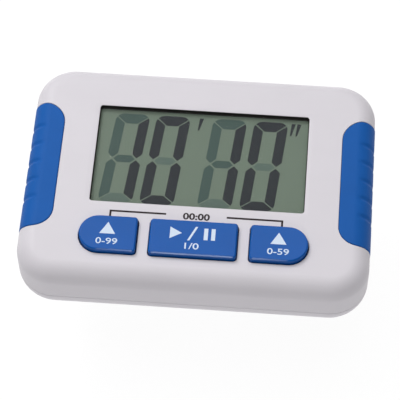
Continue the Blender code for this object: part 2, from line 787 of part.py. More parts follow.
def make_stand():
    """The fold-out leg: a plate with a barrel along its hinge edge and a pin at each end."""
    leg = prism(
        "stand",
        rounded_rectangle(
            -STAND_HALF_WIDTH,
            STAND_HALF_WIDTH,
            STAND_FOOT_Y,
            STAND_AXIS_Y + STAND_BARREL_RADIUS / 2,
            STAND_BARREL_RADIUS / 4,
        ),
        STAND_LOW,
        STAND_HIGH,
        "white_plastic",
    )
    axis_place = (STAND_AXIS_Y, STAND_AXIS_Z)
    barrel = cylinder(
        "stand_barrel", STAND_BARREL_RADIUS, -STAND_HALF_WIDTH, STAND_HALF_WIDTH, axis_place, axis="X"
    )
    pins = cylinder(
        "stand_pins", STAND_PIN_RADIUS, -STAND_PIN_REACH, STAND_PIN_REACH, axis_place, axis="X", sides=16
    )
    dish = box(
        "stand_dish",
        (-STAND_HALF_WIDTH + STAND_CORNER, STAND_FOOT_Y + STAND_CORNER, STAND_HIGH - OVERLAP),
        (STAND_HALF_WIDTH - STAND_CORNER, STAND_AXIS_Y - STAND_CORNER, STAND_HIGH + THROUGH),
    )
    join(leg, barrel, pins)
    cut(leg, dish)
    joint_empty("stand_hinge", (0.0, STAND_AXIS_Y, STAND_AXIS_Z), leg)


def make_battery_door():
    door = prism(
        "battery_door",
        rounded_rectangle(-DOOR_HALF_WIDTH, DOOR_HALF_WIDTH, DOOR_LOW_Y, DOOR_HIGH_Y, DOOR_GAP),
        DOOR_LOW,
        DOOR_HIGH,
        "white_plastic",
    )
    for i, side in enumerate((-1, 1), 1):
        low_x = side * TAB_X - TAB_HALF_WIDTH
        high_x = side * TAB_X + TAB_HALF_WIDTH
        root = box(
            f"tab_root_{i}",
            (low_x, TAB_ROOT_Y, DOOR_HIGH - OVERLAP),
            (high_x, DOOR_HIGH_Y - DOOR_GAP, TAB_HIGH),
        )
        tongue = box(f"tab_tongue_{i}", (low_x, TAB_ROOT_Y, TAB_LOW), (high_x, TAB_END_Y, TAB_HIGH))
        join(root, tongue)
        join(door, root)
    pad_low = DOOR_HIGH + PART_GAP / 2
    foam = box(
        "door_foam",
        (-FOAM_HALF_LENGTH, CELL_Y - FOAM_HALF_WIDTH, pad_low),
        (FOAM_HALF_LENGTH, CELL_Y + FOAM_HALF_WIDTH, pad_low + 3 * PART_GAP),
        "foam",
    )
    joint_empty("door_hinge", (0.0, DOOR_HIGH_Y, DOOR_LOW), door, foam)


def make_magnets():
    for name, side in (("left", -1), ("right", 1)):
        place = (side * MAGNET_X, MAGNET_Y)
        top = MAGNET_LOW + MAGNET_THICKNESS
        cylinder(f"{name}_magnet", MAGNET_RADIUS, MAGNET_LOW, top, place, "steel", sides=32)


# ---------------------------------------------------------------- display
def make_display():
    lens_low = LENS_TOP - LENS_THICKNESS
    wall_inside = FIT + GASKET_WALL
    prism("display_lens", window_outline(wall_inside + PART_GAP), lens_low, LENS_TOP, "clear_plastic")
    gasket = prism(
        "lcd_gasket",
        window_outline(FIT),
        GASKET_LOW,
        GASKET_TOP,
        "black_rubber",
        holes=[window_outline(wall_inside + GASKET_LEDGE)],
    )
    lens_seat = prism("lens_seat", window_outline(wall_inside), lens_low - PART_GAP, GASKET_TOP + THROUGH)
    flange = prism(
        "gasket_flange",
        window_outline(-GASKET_BORDER),
        GASKET_LOW,
        GASKET_LOW + GASKET_FLANGE,
        holes=[window_outline(FIT + GASKET_WALL / 2)],
    )
    join(gasket, flange)
    cut(gasket, lens_seat)
    make_panel()
    make_bracket()
    box(
        "zebra_connector",
        (-ZEBRA_WIDTH / 2, ZEBRA_LOW_Y, BOARD_HIGH + PART_GAP),
        (ZEBRA_WIDTH / 2, ZEBRA_HIGH_Y, FRONT_GLASS_LOW - PART_GAP / 2),
        "silicone",
    )


def make_panel():
    """The liquid crystal panel: a film, two glasses and a reflecting film."""
    half_width = GLASS_WIDTH / 2
    rear_low_y = GLASS_LOW_Y + GLASS_LEDGE
    box(
        "lcd_front_glass",
        (-half_width, GLASS_LOW_Y, FRONT_GLASS_LOW),
        (half_width, GLASS_HIGH_Y, FRONT_GLASS_LOW + GLASS_THICKNESS),
        "display_glass",
    )
    box(
        "lcd_rear_glass",
        (-half_width, rear_low_y, REAR_GLASS_LOW),
        (half_width, GLASS_HIGH_Y, REAR_GLASS_LOW + GLASS_THICKNESS),
        "display_glass",
    )
    for name, low in (("lcd_polarizer", POLARIZER_LOW), ("lcd_reflector", REFLECTOR_LOW)):
        box(
            name,
            (-POLARIZER_WIDTH / 2, WINDOW_Y - POLARIZER_HEIGHT / 2, low),
            (POLARIZER_WIDTH / 2, WINDOW_Y + POLARIZER_HEIGHT / 2, low + POLARIZER_THICKNESS),
            "display_film",
        )


def make_bracket():
    """The frame that clamps the panel to the front cover and guides the zebra connector."""
    half_width = BRACKET_WIDTH / 2
    half_hole = BRACKET_HOLE_WIDTH / 2
    slot = rounded_rectangle(
        -ZEBRA_WIDTH / 2 - ZEBRA_SLOT_GAP,
        ZEBRA_WIDTH / 2 + ZEBRA_SLOT_GAP,
        ZEBRA_LOW_Y - ZEBRA_SLOT_GAP,
        ZEBRA_HIGH_Y + ZEBRA_SLOT_GAP,
        ZEBRA_SLOT_GAP,
    )
    bracket = prism(
        "lcd_bracket",
        rounded_rectangle(-half_width, half_width, BRACKET_LOW_Y, BRACKET_HIGH_Y, WINDOW_CORNER),
        BRACKET_LOW,
        BRACKET_HIGH,
        "white_plastic",
        holes=[
            rounded_rectangle(
                -half_hole, half_hole, BRACKET_HOLE_LOW_Y, BRACKET_HOLE_HIGH_Y, WINDOW_CORNER
            ),
            slot,
        ],
    )
    for i, (x, y) in enumerate(BRACKET_SCREWS, 1):
        side = 1 if x > 0 else -1
        ends = sorted((x - side * 3 * BOARD_BOSS_RADIUS / 2, x + side * BOARD_BOSS_RADIUS))
        lug = box(
            f"bracket_lug_{i}",
            (ends[0], y - BOARD_BOSS_RADIUS, BRACKET_LOW),
            (ends[1], y + BOARD_BOSS_RADIUS, BRACKET_HIGH),
        )
        join(bracket, lug)
        hole = cylinder(f"bracket_hole_{i}", BOARD_HOLE_RADIUS, 0.0, CASE_DEPTH, (x, y), sides=12)
        cut(bracket, hole)


# ---------------------------------------------------------------- buttons
def make_keys():
    """Each button: a cap that stands out of the face, a flange that keeps it in, and a stem."""
    for key, side in KEYS.items():
        cap = prism(
            f"{key}_button", key_outline(side, 0.0), KEY_FLANGE_LOW, KEY_TOP - KEY_EDGE, "blue_plastic"
        )
        crown = prism(
            f"{key}_crown", key_outline(side, -KEY_EDGE / 2), KEY_FLANGE_HIGH, KEY_TOP - KEY_EDGE / 3
        )
        peak = prism(f"{key}_peak", key_outline(side, -KEY_EDGE), KEY_FLANGE_HIGH, KEY_TOP)
        flange = prism(
            f"{key}_flange", key_outline(side, KEY_FLANGE), KEY_FLANGE_LOW, KEY_FLANGE_HIGH
        )
        place = (side * KEY_CONTACT_X, KEY_Y)
        stem = cylinder(
            f"{key}_stem", KEY_STEM_RADIUS, KEY_STEM_LOW, KEY_FLANGE_LOW + OVERLAP, place, sides=16
        )
        join(cap, crown, peak, flange, stem)
        pill = cylinder(f"{key}_contact_pill", PILL_RADIUS, PILL_LOW, PILL_HIGH, place, "carbon", sides=16)
        joint_empty(f"{key}_guide", (place[0], place[1], KEY_TOP), cap, pill)
        make_dome(key, place)


def make_dome(key, place):
    """The rubber dome that pushes the button up and carries the contact pill."""
    foot = BOARD_HIGH + PART_GAP
    skirt_top = foot + DOME_WALL
    profile = [
        (0.0, DOME_TOP),
        (DOME_TOP_RADIUS, DOME_TOP),
        (DOME_RADIUS, skirt_top),
        (DOME_RADIUS, foot),
        (DOME_RADIUS - DOME_WALL, foot),
        (DOME_RADIUS - DOME_WALL, skirt_top - DOME_WALL / 2),
        (DOME_TOP_RADIUS - DOME_WALL / 3, DOME_TOP - DOME_WALL),
        (0.0, DOME_TOP - DOME_WALL),
    ]
    turned(f"{key}_dome", profile, "silicone", centre=place)


def make_keypad_mat():
    hole_radius = DOME_RADIUS + FIT
    low = BOARD_HIGH + PART_GAP
    prism(
        "keypad_mat",
        rounded_rectangle(-MAT_WIDTH / 2, MAT_WIDTH / 2, MAT_LOW_Y, MAT_HIGH_Y, WINDOW_CORNER),
        low,
        low + MAT_THICKNESS,
        "silicone",
        holes=[circle((side * KEY_CONTACT_X, KEY_Y), hole_radius) for side in KEYS.values()],
    )


# ---------------------------------------------------------------- circuit board
def make_board():
    """The board, stepped in at its lower corners to clear the case bosses."""
    right = [
        (BOARD_STEP_X, BOARD_LOW_Y),
        (BOARD_STEP_X, BOARD_STEP_Y),
        (BOARD_HALF_WIDTH, BOARD_STEP_Y),
        (BOARD_HALF_WIDTH, BOARD_HIGH_Y),
    ]
    left = [(-x, y) for x, y in reversed(right)]
    prism(
        "circuit_board",
        right + left,
        BOARD_LOW,
        BOARD_HIGH,
        "circuit_board",
        holes=[circle(place, BOARD_HOLE_RADIUS, 12) for place in BOARD_SCREWS],
    )


def make_board_parts():
    """What is soldered to the underside of the board."""
    under = BOARD_LOW - PART_GAP
    make_controller_blob(under)
    crystal_place = (CRYSTAL_Y, under - CRYSTAL_RADIUS)
    cylinder("timing_crystal", CRYSTAL_RADIUS, *CRYSTAL_ENDS, crystal_place, "steel", "X", 16)
    capacitor_place = (CAPACITOR_X, under - CAPACITOR_RADIUS)
    cylinder("smoothing_capacitor", CAPACITOR_RADIUS, *CAPACITOR_ENDS, capacitor_place, "epoxy", "Y")
    coil = cylinder("buzzer_coil", COIL_RADIUS, under - COIL_HEIGHT, under, COIL_PLACE, "epoxy")
    waist = prism(
        "coil_waist",
        circle(COIL_PLACE, 2 * COIL_RADIUS),
        under - COIL_HEIGHT + COIL_FLANGE,
        under - COIL_FLANGE,
        holes=[circle(COIL_PLACE, 0.75 * COIL_RADIUS)],
    )
    cut(coil, waist)
    for i, x in enumerate(RESISTOR_XS, 1):
        box(
            f"chip_resistor_{i}",
            (x - RESISTOR_WIDTH / 2, RESISTOR_Y - RESISTOR_LENGTH / 2, under - RESISTOR_HEIGHT),
            (x + RESISTOR_WIDTH / 2, RESISTOR_Y + RESISTOR_LENGTH / 2, under),
            "epoxy",
        )


def make_controller_blob(under):
    """The drop of epoxy over the controller chip, which hangs from the board as a low dome."""
    steps = 5
    profile = [(0.0, under)]
    for i in range(steps):
        angle = math.pi / 2 * (1 - i / steps)
        profile.append((BLOB_RADIUS * math.sin(angle), under - BLOB_HEIGHT * math.cos(angle)))
    profile.append((0.0, under - BLOB_HEIGHT))
    turned("controller_blob", profile, "epoxy", centre=BLOB_PLACE)


def make_screws():
    """All the screws go in from the back."""
    for i, place in enumerate(CASE_SCREWS, 1):
        head = (CASE_HEAD_RADIUS, CASE_HEAD_HEIGHT)
        make_screw(f"case_screw_{i}", place, CASE_HEAD_LOW, head, CASE_SHANK_RADIUS, CASE_SCREW_TIP)
    head = (SMALL_HEAD_RADIUS, SMALL_HEAD_HEIGHT)
    head_drop = PART_GAP + SMALL_HEAD_HEIGHT
    for i, place in enumerate(BOARD_SCREWS, 1):
        low = BOARD_LOW - head_drop
        make_screw(f"board_screw_{i}", place, low, head, SMALL_SHANK_RADIUS, BOARD_SCREW_TIP)
    for i, place in enumerate(BRACKET_SCREWS, 1):
        low = BRACKET_LOW - head_drop
        make_screw(f"bracket_screw_{i}", place, low, head, SMALL_SHANK_RADIUS, BRACKET_SCREW_TIP)


def make_screw(name, place, head_low, head, shank_radius, tip):
    """A pan head screw with a cross recess. The head is its radius and height."""
    head_radius, head_height = head
    head_top = head_low + head_height
    profile = [
        (0.0, tip),
        (shank_radius / 2, tip),
        (shank_radius, tip - 2 * shank_radius),
        (shank_radius, head_top),
        (head_radius, head_top),
        (head_radius, head_low + head_height / 3),
        (head_radius * 0.75, head_low),
        (0.0, head_low),
    ]
    screw = turned(name, profile, "steel", sides=12, centre=place)
    arm = head_radius * 0.55
    half_slot = head_radius * 0.12
    slot_top = head_low + head_height / 2
    for direction, (reach_x, reach_y) in (("x", (arm, half_slot)), ("y", (half_slot, arm))):
        slot = box(
            f"{name}_slot_{direction}",
            (place[0] - reach_x, place[1] - reach_y, head_low - THROUGH),
            (place[0] + reach_x, place[1] + reach_y, slot_top),
        )
        cut(screw, slot)


# ---------------------------------------------------------------- buzzer
def make_buzzer():
    centre = (0.0, BUZZER_Y)
    plate_top = BUZZER_PLATE_LOW + BUZZER_PLATE_THICKNESS
    cylinder("buzzer_plate", BUZZER_PLATE_RADIUS, BUZZER_PLATE_LOW, plate_top, centre, "brass", sides=32)
    ceramic_top = CERAMIC_LOW + CERAMIC_THICKNESS
    cylinder("buzzer_ceramic", CERAMIC_RADIUS, CERAMIC_LOW, ceramic_top, centre, "ceramic", sides=32)


# ---------------------------------------------------------------- battery and its contacts
def make_battery():
    centre = (CELL_Y, CELL_Z)
    cell = cylinder(
        "battery_cell", CELL_RADIUS, CELL_NEGATIVE_X, CELL_SHOULDER_X, centre, "cell_sleeve", "X", 24
    )
    nub_start = CELL_SHOULDER_X - OVERLAP
    join(cell, cylinder("cell_nub", CELL_NUB_RADIUS, nub_start, CELL_NUB_X, centre, axis="X", sides=16))
    for name, side in (("battery_negative_plate", -1), ("battery_positive_plate", 1)):
        ends = sorted((side * CONTACT_X, side * (CONTACT_X + CONTACT_THICKNESS)))
        plate_low = (ends[0], BAY_LOW_Y + OVERLAP, CONTACT_LOW)
        plate_high = (ends[1], BAY_HIGH_Y - OVERLAP, CONTACT_HIGH)
        plate = box(name, plate_low, plate_high, "steel")
        lead_low = (ends[0], LEAD_END_Y, LEAD_LOW)
        lead_high = (ends[1], BAY_LOW_Y + 2 * OVERLAP, LEAD_HIGH)
        lead = box(f"{name}_lead", lead_low, lead_high)
        join(plate, lead)
    make_spring()


def make_spring():
    """The conical spring that presses on the cell's negative end."""
    gap = SPRING_WIRE_RADIUS + PART_GAP
    start = -CONTACT_X + gap
    end = CELL_NEGATIVE_X - gap
    steps_per_turn = 12
    total = SPRING_TURNS * steps_per_turn
    points = []
    for i in range(total + 1):
        share = i / total
        # The first and last half turns lie flat, as on a ground spring.
        travel = min(max((share * SPRING_TURNS - 0.5) / (SPRING_TURNS - 1), 0.0), 1.0)
        radius = SPRING_WIDE_RADIUS + (SPRING_NARROW_RADIUS - SPRING_WIDE_RADIUS) * share
        angle = 2 * math.pi * SPRING_TURNS * share
        along = start + (end - start) * travel
        points.append((along, CELL_Y + radius * math.cos(angle), CELL_Z + radius * math.sin(angle)))
    tube("battery_spring", points, SPRING_WIRE_RADIUS, "steel")


def make_wires():
    """Insulated leads from the cell's contacts and from the buzzer to the board."""
    pad_z = BOARD_LOW - PART_GAP - WIRE_RADIUS
    lead_x = CONTACT_X + CONTACT_THICKNESS / 2
    start_y = LEAD_END_Y - PART_GAP - 0.0006
    start_z = (LEAD_LOW + LEAD_HIGH) / 2
    for colour, side in (("red", 1), ("black", -1)):
        start = (side * lead_x, start_y, start_z)
        end = (side * WIRE_PAD[0], WIRE_PAD[1], pad_z)
        sag = (start[0], start[1] - 0.0029, start[2] - 0.0003)
        rise = (end[0] + side * 0.0040, end[1] + 0.0020, end[2] - 0.00205)
        tube(f"battery_wire_{colour}", bend(start, sag, rise, end), WIRE_RADIUS, f"{colour}_insulation")
    wire_lift = WIRE_RADIUS + PART_GAP
    ceramic_start = (0.0045, BUZZER_Y, CERAMIC_LOW + CERAMIC_THICKNESS + wire_lift)
    plate_start = (0.0086, BUZZER_Y - 0.0015, BUZZER_PLATE_LOW + BUZZER_PLATE_THICKNESS + wire_lift)
    ends = {"red": (ceramic_start, (0.0125, -0.0145)), "black": (plate_start, (0.0135, -0.0185))}
    for colour, (start, pad) in ends.items():
        end = (pad[0], pad[1], pad_z)
        rise = (start[0] + 0.0030, start[1], start[2])
        fall = (end[0], end[1] + 0.0010, end[2] - 0.0016)
        tube(f"buzzer_wire_{colour}", bend(start, rise, fall, end), WIRE_RADIUS, f"{colour}_insulation")


make_front_cover()
make_back_cover()
make_grips()
make_stand()
make_battery_door()
make_magnets()
make_display()
make_keys()
make_keypad_mat()
make_board()
make_board_parts()
make_screws()
make_buzzer()
make_battery()
make_wires()
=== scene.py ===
import json
import math
from functools import partial

import bmesh
import bpy
from mathutils import Matrix, Vector


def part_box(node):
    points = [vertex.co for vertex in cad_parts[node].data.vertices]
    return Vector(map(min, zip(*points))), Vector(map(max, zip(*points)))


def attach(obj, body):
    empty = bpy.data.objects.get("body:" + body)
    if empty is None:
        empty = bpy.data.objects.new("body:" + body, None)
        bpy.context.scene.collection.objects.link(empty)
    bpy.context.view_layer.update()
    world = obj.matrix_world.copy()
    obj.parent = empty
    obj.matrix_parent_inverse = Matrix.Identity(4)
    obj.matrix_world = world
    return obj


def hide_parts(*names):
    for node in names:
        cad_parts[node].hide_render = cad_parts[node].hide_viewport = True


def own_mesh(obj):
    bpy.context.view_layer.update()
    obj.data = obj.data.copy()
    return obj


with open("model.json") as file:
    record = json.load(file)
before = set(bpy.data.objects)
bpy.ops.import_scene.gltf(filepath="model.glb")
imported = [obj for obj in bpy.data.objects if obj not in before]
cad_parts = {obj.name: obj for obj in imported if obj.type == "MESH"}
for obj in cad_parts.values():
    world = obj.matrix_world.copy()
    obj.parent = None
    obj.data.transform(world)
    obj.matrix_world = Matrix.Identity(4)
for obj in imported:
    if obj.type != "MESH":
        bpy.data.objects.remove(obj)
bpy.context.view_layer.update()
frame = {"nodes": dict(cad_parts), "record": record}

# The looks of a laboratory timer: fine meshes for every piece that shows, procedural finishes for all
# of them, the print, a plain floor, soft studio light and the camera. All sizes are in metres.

MM = 0.001

# ---------------- sizes taken from the frame
CASE_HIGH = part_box("front_cover")[1]
HALF_WIDTH = CASE_HIGH.x
HALF_HEIGHT = CASE_HIGH.y
FACE_Z = CASE_HIGH.z
LENS_LOW, LENS_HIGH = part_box("display_lens")
GASKET_LOW, GASKET_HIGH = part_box("lcd_gasket")
FILM_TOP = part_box("lcd_polarizer")[1].z
GRIP_LOW, GRIP_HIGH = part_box("right_grip")
SEAM_Z = GRIP_LOW.z - 0.3 * MM
STAND_LOW, STAND_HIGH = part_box("stand")
DOOR_LOW, DOOR_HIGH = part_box("battery_door")
CELL_LOW, CELL_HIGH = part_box("battery_cell")
KEY_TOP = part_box("start_stop_button")[1].z

# ---------------- sizes of the case
CORNER_RADIUS = 9.5 * MM
FACE_FILLET = 4.6 * MM
BACK_FILLET = 6.9 * MM
SIDE_WALL = 2.2 * MM
FACE_WALL = 2.0 * MM
BACK_WALL = 1.8 * MM
SEAM_GAP = 0.035 * MM
SEAM_ROUNDING = 0.06 * MM
GRIP_ROUNDING = 0.32 * MM
CORNER_STEPS = 24
FILLET_STEPS = 16
THROUGH = 2.0 * MM  # how far a cutter reaches past the wall that it cuts

WINDOW_MARGIN = 0.5 * MM  # from the lens's edge to the window's
WINDOW_CORNER = 0.8 * MM
DISH_WIDTH = 1.3 * MM
DISH_DEPTH = 0.1 * MM
DISH_STEPS = 8
WINDOW_RISE = 0.4 * MM  # how much higher the window's top line is than the lens's and the margin
WINDOW_Y = (LENS_LOW.y + LENS_HIGH.y + WINDOW_RISE) / 2
WINDOW_HALF_WIDTH = LENS_HIGH.x + WINDOW_MARGIN
WINDOW_HALF_HEIGHT = (LENS_HIGH.y - LENS_LOW.y + WINDOW_RISE) / 2 + WINDOW_MARGIN

KEY_SIDES = {"minute": -1, "start_stop": 0, "second": 1}
KEY_FLANGE = 0.7 * MM
KEY_CORNER = 0.8 * MM
KEY_GAP = 0.25 * MM
KEY_BEVEL = 0.32 * MM
KEY_SOFTENING = 0.12 * MM
KEY_STEM_X = 20.6 * MM
PRINT_HEIGHT = 0.02 * MM
KEY_FACE = KEY_TOP - PRINT_HEIGHT

GRIP_INNER_X = GRIP_LOW.x
GRIP_LOW_CORNER = 5.0 * MM
GRIP_HIGH_CORNER = 5.85 * MM
GRIP_PROUD = GRIP_HIGH.z - FACE_Z


# ---------------- node trees written as sums
def math_method(operation, swapped=False):
    """A method that adds a Math node for one operation, with its two terms swapped if asked."""

    def method(self, *others):
        terms = (*others, self) if swapped else (self, *others)
        return self.tree.node("ShaderNodeMath", {"operation": operation}, dict(enumerate(terms)))

    return method


class Value:
    """A node's output that takes part in Python sums. Each sum adds a Math node to the tree."""

    def __init__(self, tree, socket):
        self.tree = tree
        self.socket = socket

    __add__ = __radd__ = math_method("ADD")
    __sub__ = math_method("SUBTRACT")
    __rsub__ = math_method("SUBTRACT", swapped=True)
    __mul__ = __rmul__ = math_method("MULTIPLY")
    __truediv__ = math_method("DIVIDE")
    __gt__ = math_method("GREATER_THAN")
    __abs__ = math_method("ABSOLUTE")
    least = math_method("MINIMUM")
    most = math_method("MAXIMUM")
    sine = math_method("SINE")
    cosine = math_method("COSINE")
    fraction = math_method("FRACT")
    square_root = math_method("SQRT")

    def output(self, name):
        return Value(self.tree, self.socket.node.outputs[name])

    def within(self, low, high):
        return self.most(low).least(high)

    def root(self):
        return self.most(0.0).square_root()

    def ease(self):
        """A smooth step, from 0 at 0 to 1 at 1."""
        share = self.within(0.0, 1.0)
        return share * share * (3.0 - 2.0 * share)


class Tree:
    """A shader or geometry node tree that one method fills."""

    def __init__(self, tree):
        self.tree = tree
        tree.nodes.clear()

    def node(self, kind, settings=None, sockets=None, output=0):
        made = self.tree.nodes.new(kind)
        for name, setting in (settings or {}).items():
            if name == "stops":
                self.set_stops(made.color_ramp, setting)
            else:
                setattr(made, name, setting)
        for name, value in (sockets or {}).items():
            if isinstance(value, Value):
                self.tree.links.new(value.socket, made.inputs[name])
            else:
                made.inputs[name].default_value = value
        return Value(self, made.outputs[output]) if made.outputs else None

    def set_stops(self, ramp, stops):
        while len(ramp.elements) < len(stops):
            ramp.elements.new(0.5)
        for element, (position, colour) in zip(ramp.elements, stops):
            element.position = position
            element.color = (*colour, 1.0)

    def mix(self, share, first, second):
        """A colour between two colours."""
        settings = {"data_type": "RGBA"}
        return self.node("ShaderNodeMix", settings, {0: share, 6: first, 7: second}, output=2)

    def place(self):
        return self.node("ShaderNodeTexCoord", output="Object")

    def noise(self, size, detail=2.0, stretch=None):
        """Noise from 0 to 1 whose grains are about that size in metres."""
        place = self.place()
        if stretch:
            place = self.node("ShaderNodeMapping", None, {"Vector": place, "Scale": stretch})
        sockets = {"Vector": place, "Scale": 1.0 / size, "Detail": detail}
        return self.node("ShaderNodeTexNoise", None, sockets)

    def bump(self, relief, height):
        """A normal from a height of 0 to 1 that stands for that relief in metres."""
        return self.node("ShaderNodeBump", None, {"Strength": 1.0, "Distance": relief, "Height": height})


# ---------------- finishes
def opaque(colour):
    return (*colour, 1.0)


def shade(colour, factor):
    return tuple(channel * factor for channel in colour)


def new_finish(name):
    material = bpy.data.materials.new(name)
    material.use_nodes = True
    return material, Tree(material.node_tree)


def close_finish(tree, sockets):
    shader = tree.node("ShaderNodeBsdfPrincipled", None, sockets)
    tree.node("ShaderNodeOutputMaterial", None, {"Surface": shader})


def moulded(name, colour, roughness, grain=0.35 * MM, relief=0.006 * MM, drift=0.04, gloss=0.5, coat=0.0):
    """Moulded plastic or rubber: spark-eroded grain, faint flow marks and slightly uneven gloss."""
    material, tree = new_finish(name)
    fine = tree.noise(grain, 3.0)
    broad = tree.noise(14 * MM, 3.0)
    flow = tree.noise(5 * MM, 2.0, stretch=(0.35, 1.0, 1.0))
    tone = (broad * 0.7 + flow * 0.3 - 0.35) / 0.3
    base = tree.mix(tone.within(0.0, 1.0), opaque(shade(colour, 1.0 - drift)), opaque(colour))
    base = tree.mix((fine - 0.5).within(0.0, 1.0) * drift * 2.0, base, opaque(shade(colour, 1.06)))
    bump = tree.bump(relief, fine)
    close_finish(
        tree,
        {
            "Base Color": base,
            "Roughness": roughness + (fine - 0.5) * 0.12 + (broad - 0.5) * 0.08,
            "Normal": bump,
            "Specular IOR Level": gloss,
            "Coat Weight": coat,
            "Coat Roughness": 0.25,
        },
    )
    return material


def metal(name, colour, roughness, brush=None, relief=0.002 * MM):
    """Plated or rolled metal with fine marks, brushed along one axis if asked."""
    material, tree = new_finish(name)
    marks = tree.noise(0.25 * MM, 3.0, stretch=brush)
    stain = tree.noise(3 * MM, 3.0)
    base = tree.mix((stain - 0.3).within(0.0, 1.0), opaque(colour), opaque(shade(colour, 0.8)))
    bump = tree.bump(relief, marks)
    close_finish(
        tree,
        {
            "Base Color": base,
            "Roughness": roughness + (marks - 0.5) * 0.2 + (stain - 0.5) * 0.15,
            "Metallic": 1.0,
            "Normal": bump,
        },
    )
    return material


def clear_lens():
    """Clear moulded acrylic with a few hair scratches."""
    material, tree = new_finish("clear_lens")
    scratches = tree.noise(0.3 * MM, 2.0, stretch=(1.0, 0.04, 1.0))
    haze = tree.noise(9 * MM, 3.0)
    close_finish(
        tree,
        {
            "Base Color": (0.85, 0.9, 0.88, 1.0),
            "Roughness": 0.06 + (haze - 0.5).within(0.0, 1.0) * 0.08,
            "Alpha": 0.012 + (scratches - 0.74).within(0.0, 0.05) * 0.8,
            "IOR": 1.49,
        },
    )
    return material


def display_film(name, colour, grain=0.05):
    """The panel's grey-green reflecting film: metal flake grain and a faint vertical brushing."""
    material, tree = new_finish(name)
    flake = tree.noise(0.12 * MM, 2.0)
    brushing = tree.noise(0.5 * MM, 2.0, stretch=(1.0, 0.03, 1.0))
    cloud = tree.noise(18 * MM, 2.0)
    tone = (flake * 0.5 + brushing * 0.3 + cloud * 0.2).within(0.0, 1.0)
    dark = opaque(shade(colour, 1.0 - grain))
    base = tree.mix(tone, dark, opaque(shade(colour, 1.0 + grain)))
    bump = tree.bump(0.002 * MM, flake)
    uneven = 0.6 + (cloud - 0.5) * 0.1
    close_finish(tree, {"Base Color": base, "Roughness": uneven, "Normal": bump, "Specular IOR Level": 0.15})
    return material


def ink(name, colour, roughness=0.6):
    """Pad-printed ink, a little thin in places."""
    material, tree = new_finish(name)
    cover = tree.noise(0.2 * MM, 3.0)
    base = tree.mix((cover - 0.4).within(0.0, 1.0), opaque(colour), opaque(shade(colour, 0.8)))
    bump = tree.bump(0.003 * MM, cover)
    uneven = roughness + (cover - 0.5) * 0.15
    close_finish(tree, {"Base Color": base, "Roughness": uneven, "Normal": bump, "Specular IOR Level": 0.2})
    return material


def board_finish():
    """Green solder mask over paler copper tracks that run along X and Y."""
    material, tree = new_finish("board")
    place = tree.place()
    tracks = tree.node(
        "ShaderNodeTexBrick",
        {"offset": 0.37},
        {
            "Vector": place,
            "Scale": 1.0,
            "Mortar Size": 0.18 * MM,
            "Mortar Smooth": 0.1,
            "Brick Width": 5.1 * MM,
            "Row Height": 1.3 * MM,
        },
        output="Fac",
    )
    weave = tree.noise(0.4 * MM, 2.0)
    mask = tree.mix(weave, opaque((0.015, 0.10, 0.035)), opaque((0.02, 0.14, 0.05)))
    base = tree.mix(tracks, mask, opaque((0.06, 0.26, 0.09)))
    height = tracks * 0.6 + weave * 0.2
    bump = tree.bump(0.02 * MM, height)
    close_finish(tree, {"Base Color": base, "Roughness": 0.35 + weave * 0.1, "Normal": bump})
    return material


def cell_finish():
    """A dry cell's printed sleeve: dark body, coppery band at the positive end, bright steel ends."""
    material, tree = new_finish("cell_sleeve")
    along = tree.node("ShaderNodeSeparateXYZ", None, {0: tree.place()}, output="X")
    share = (along - CELL_LOW.x) / (CELL_HIGH.x - CELL_LOW.x)
    ramp = tree.node(
        "ShaderNodeValToRGB",
        {
            "stops": [
                (0.0, (0.55, 0.55, 0.56)),
                (0.018, (0.02, 0.05, 0.035)),
                (0.70, (0.50, 0.20, 0.06)),
                (0.965, (0.55, 0.55, 0.56)),
            ]
        },
        {"Fac": share},
    )
    ramp.socket.node.color_ramp.interpolation = "CONSTANT"
    wear = tree.noise(1.5 * MM, 3.0)
    base = tree.mix((wear - 0.5).within(0.0, 1.0), ramp, opaque((0.3, 0.3, 0.3)))
    bump = tree.bump(0.01 * MM, wear)
    sockets = {"Base Color": base, "Roughness": 0.25 + wear * 0.15, "Metallic": 0.6, "Normal": bump}
    close_finish(tree, sockets)
    return material


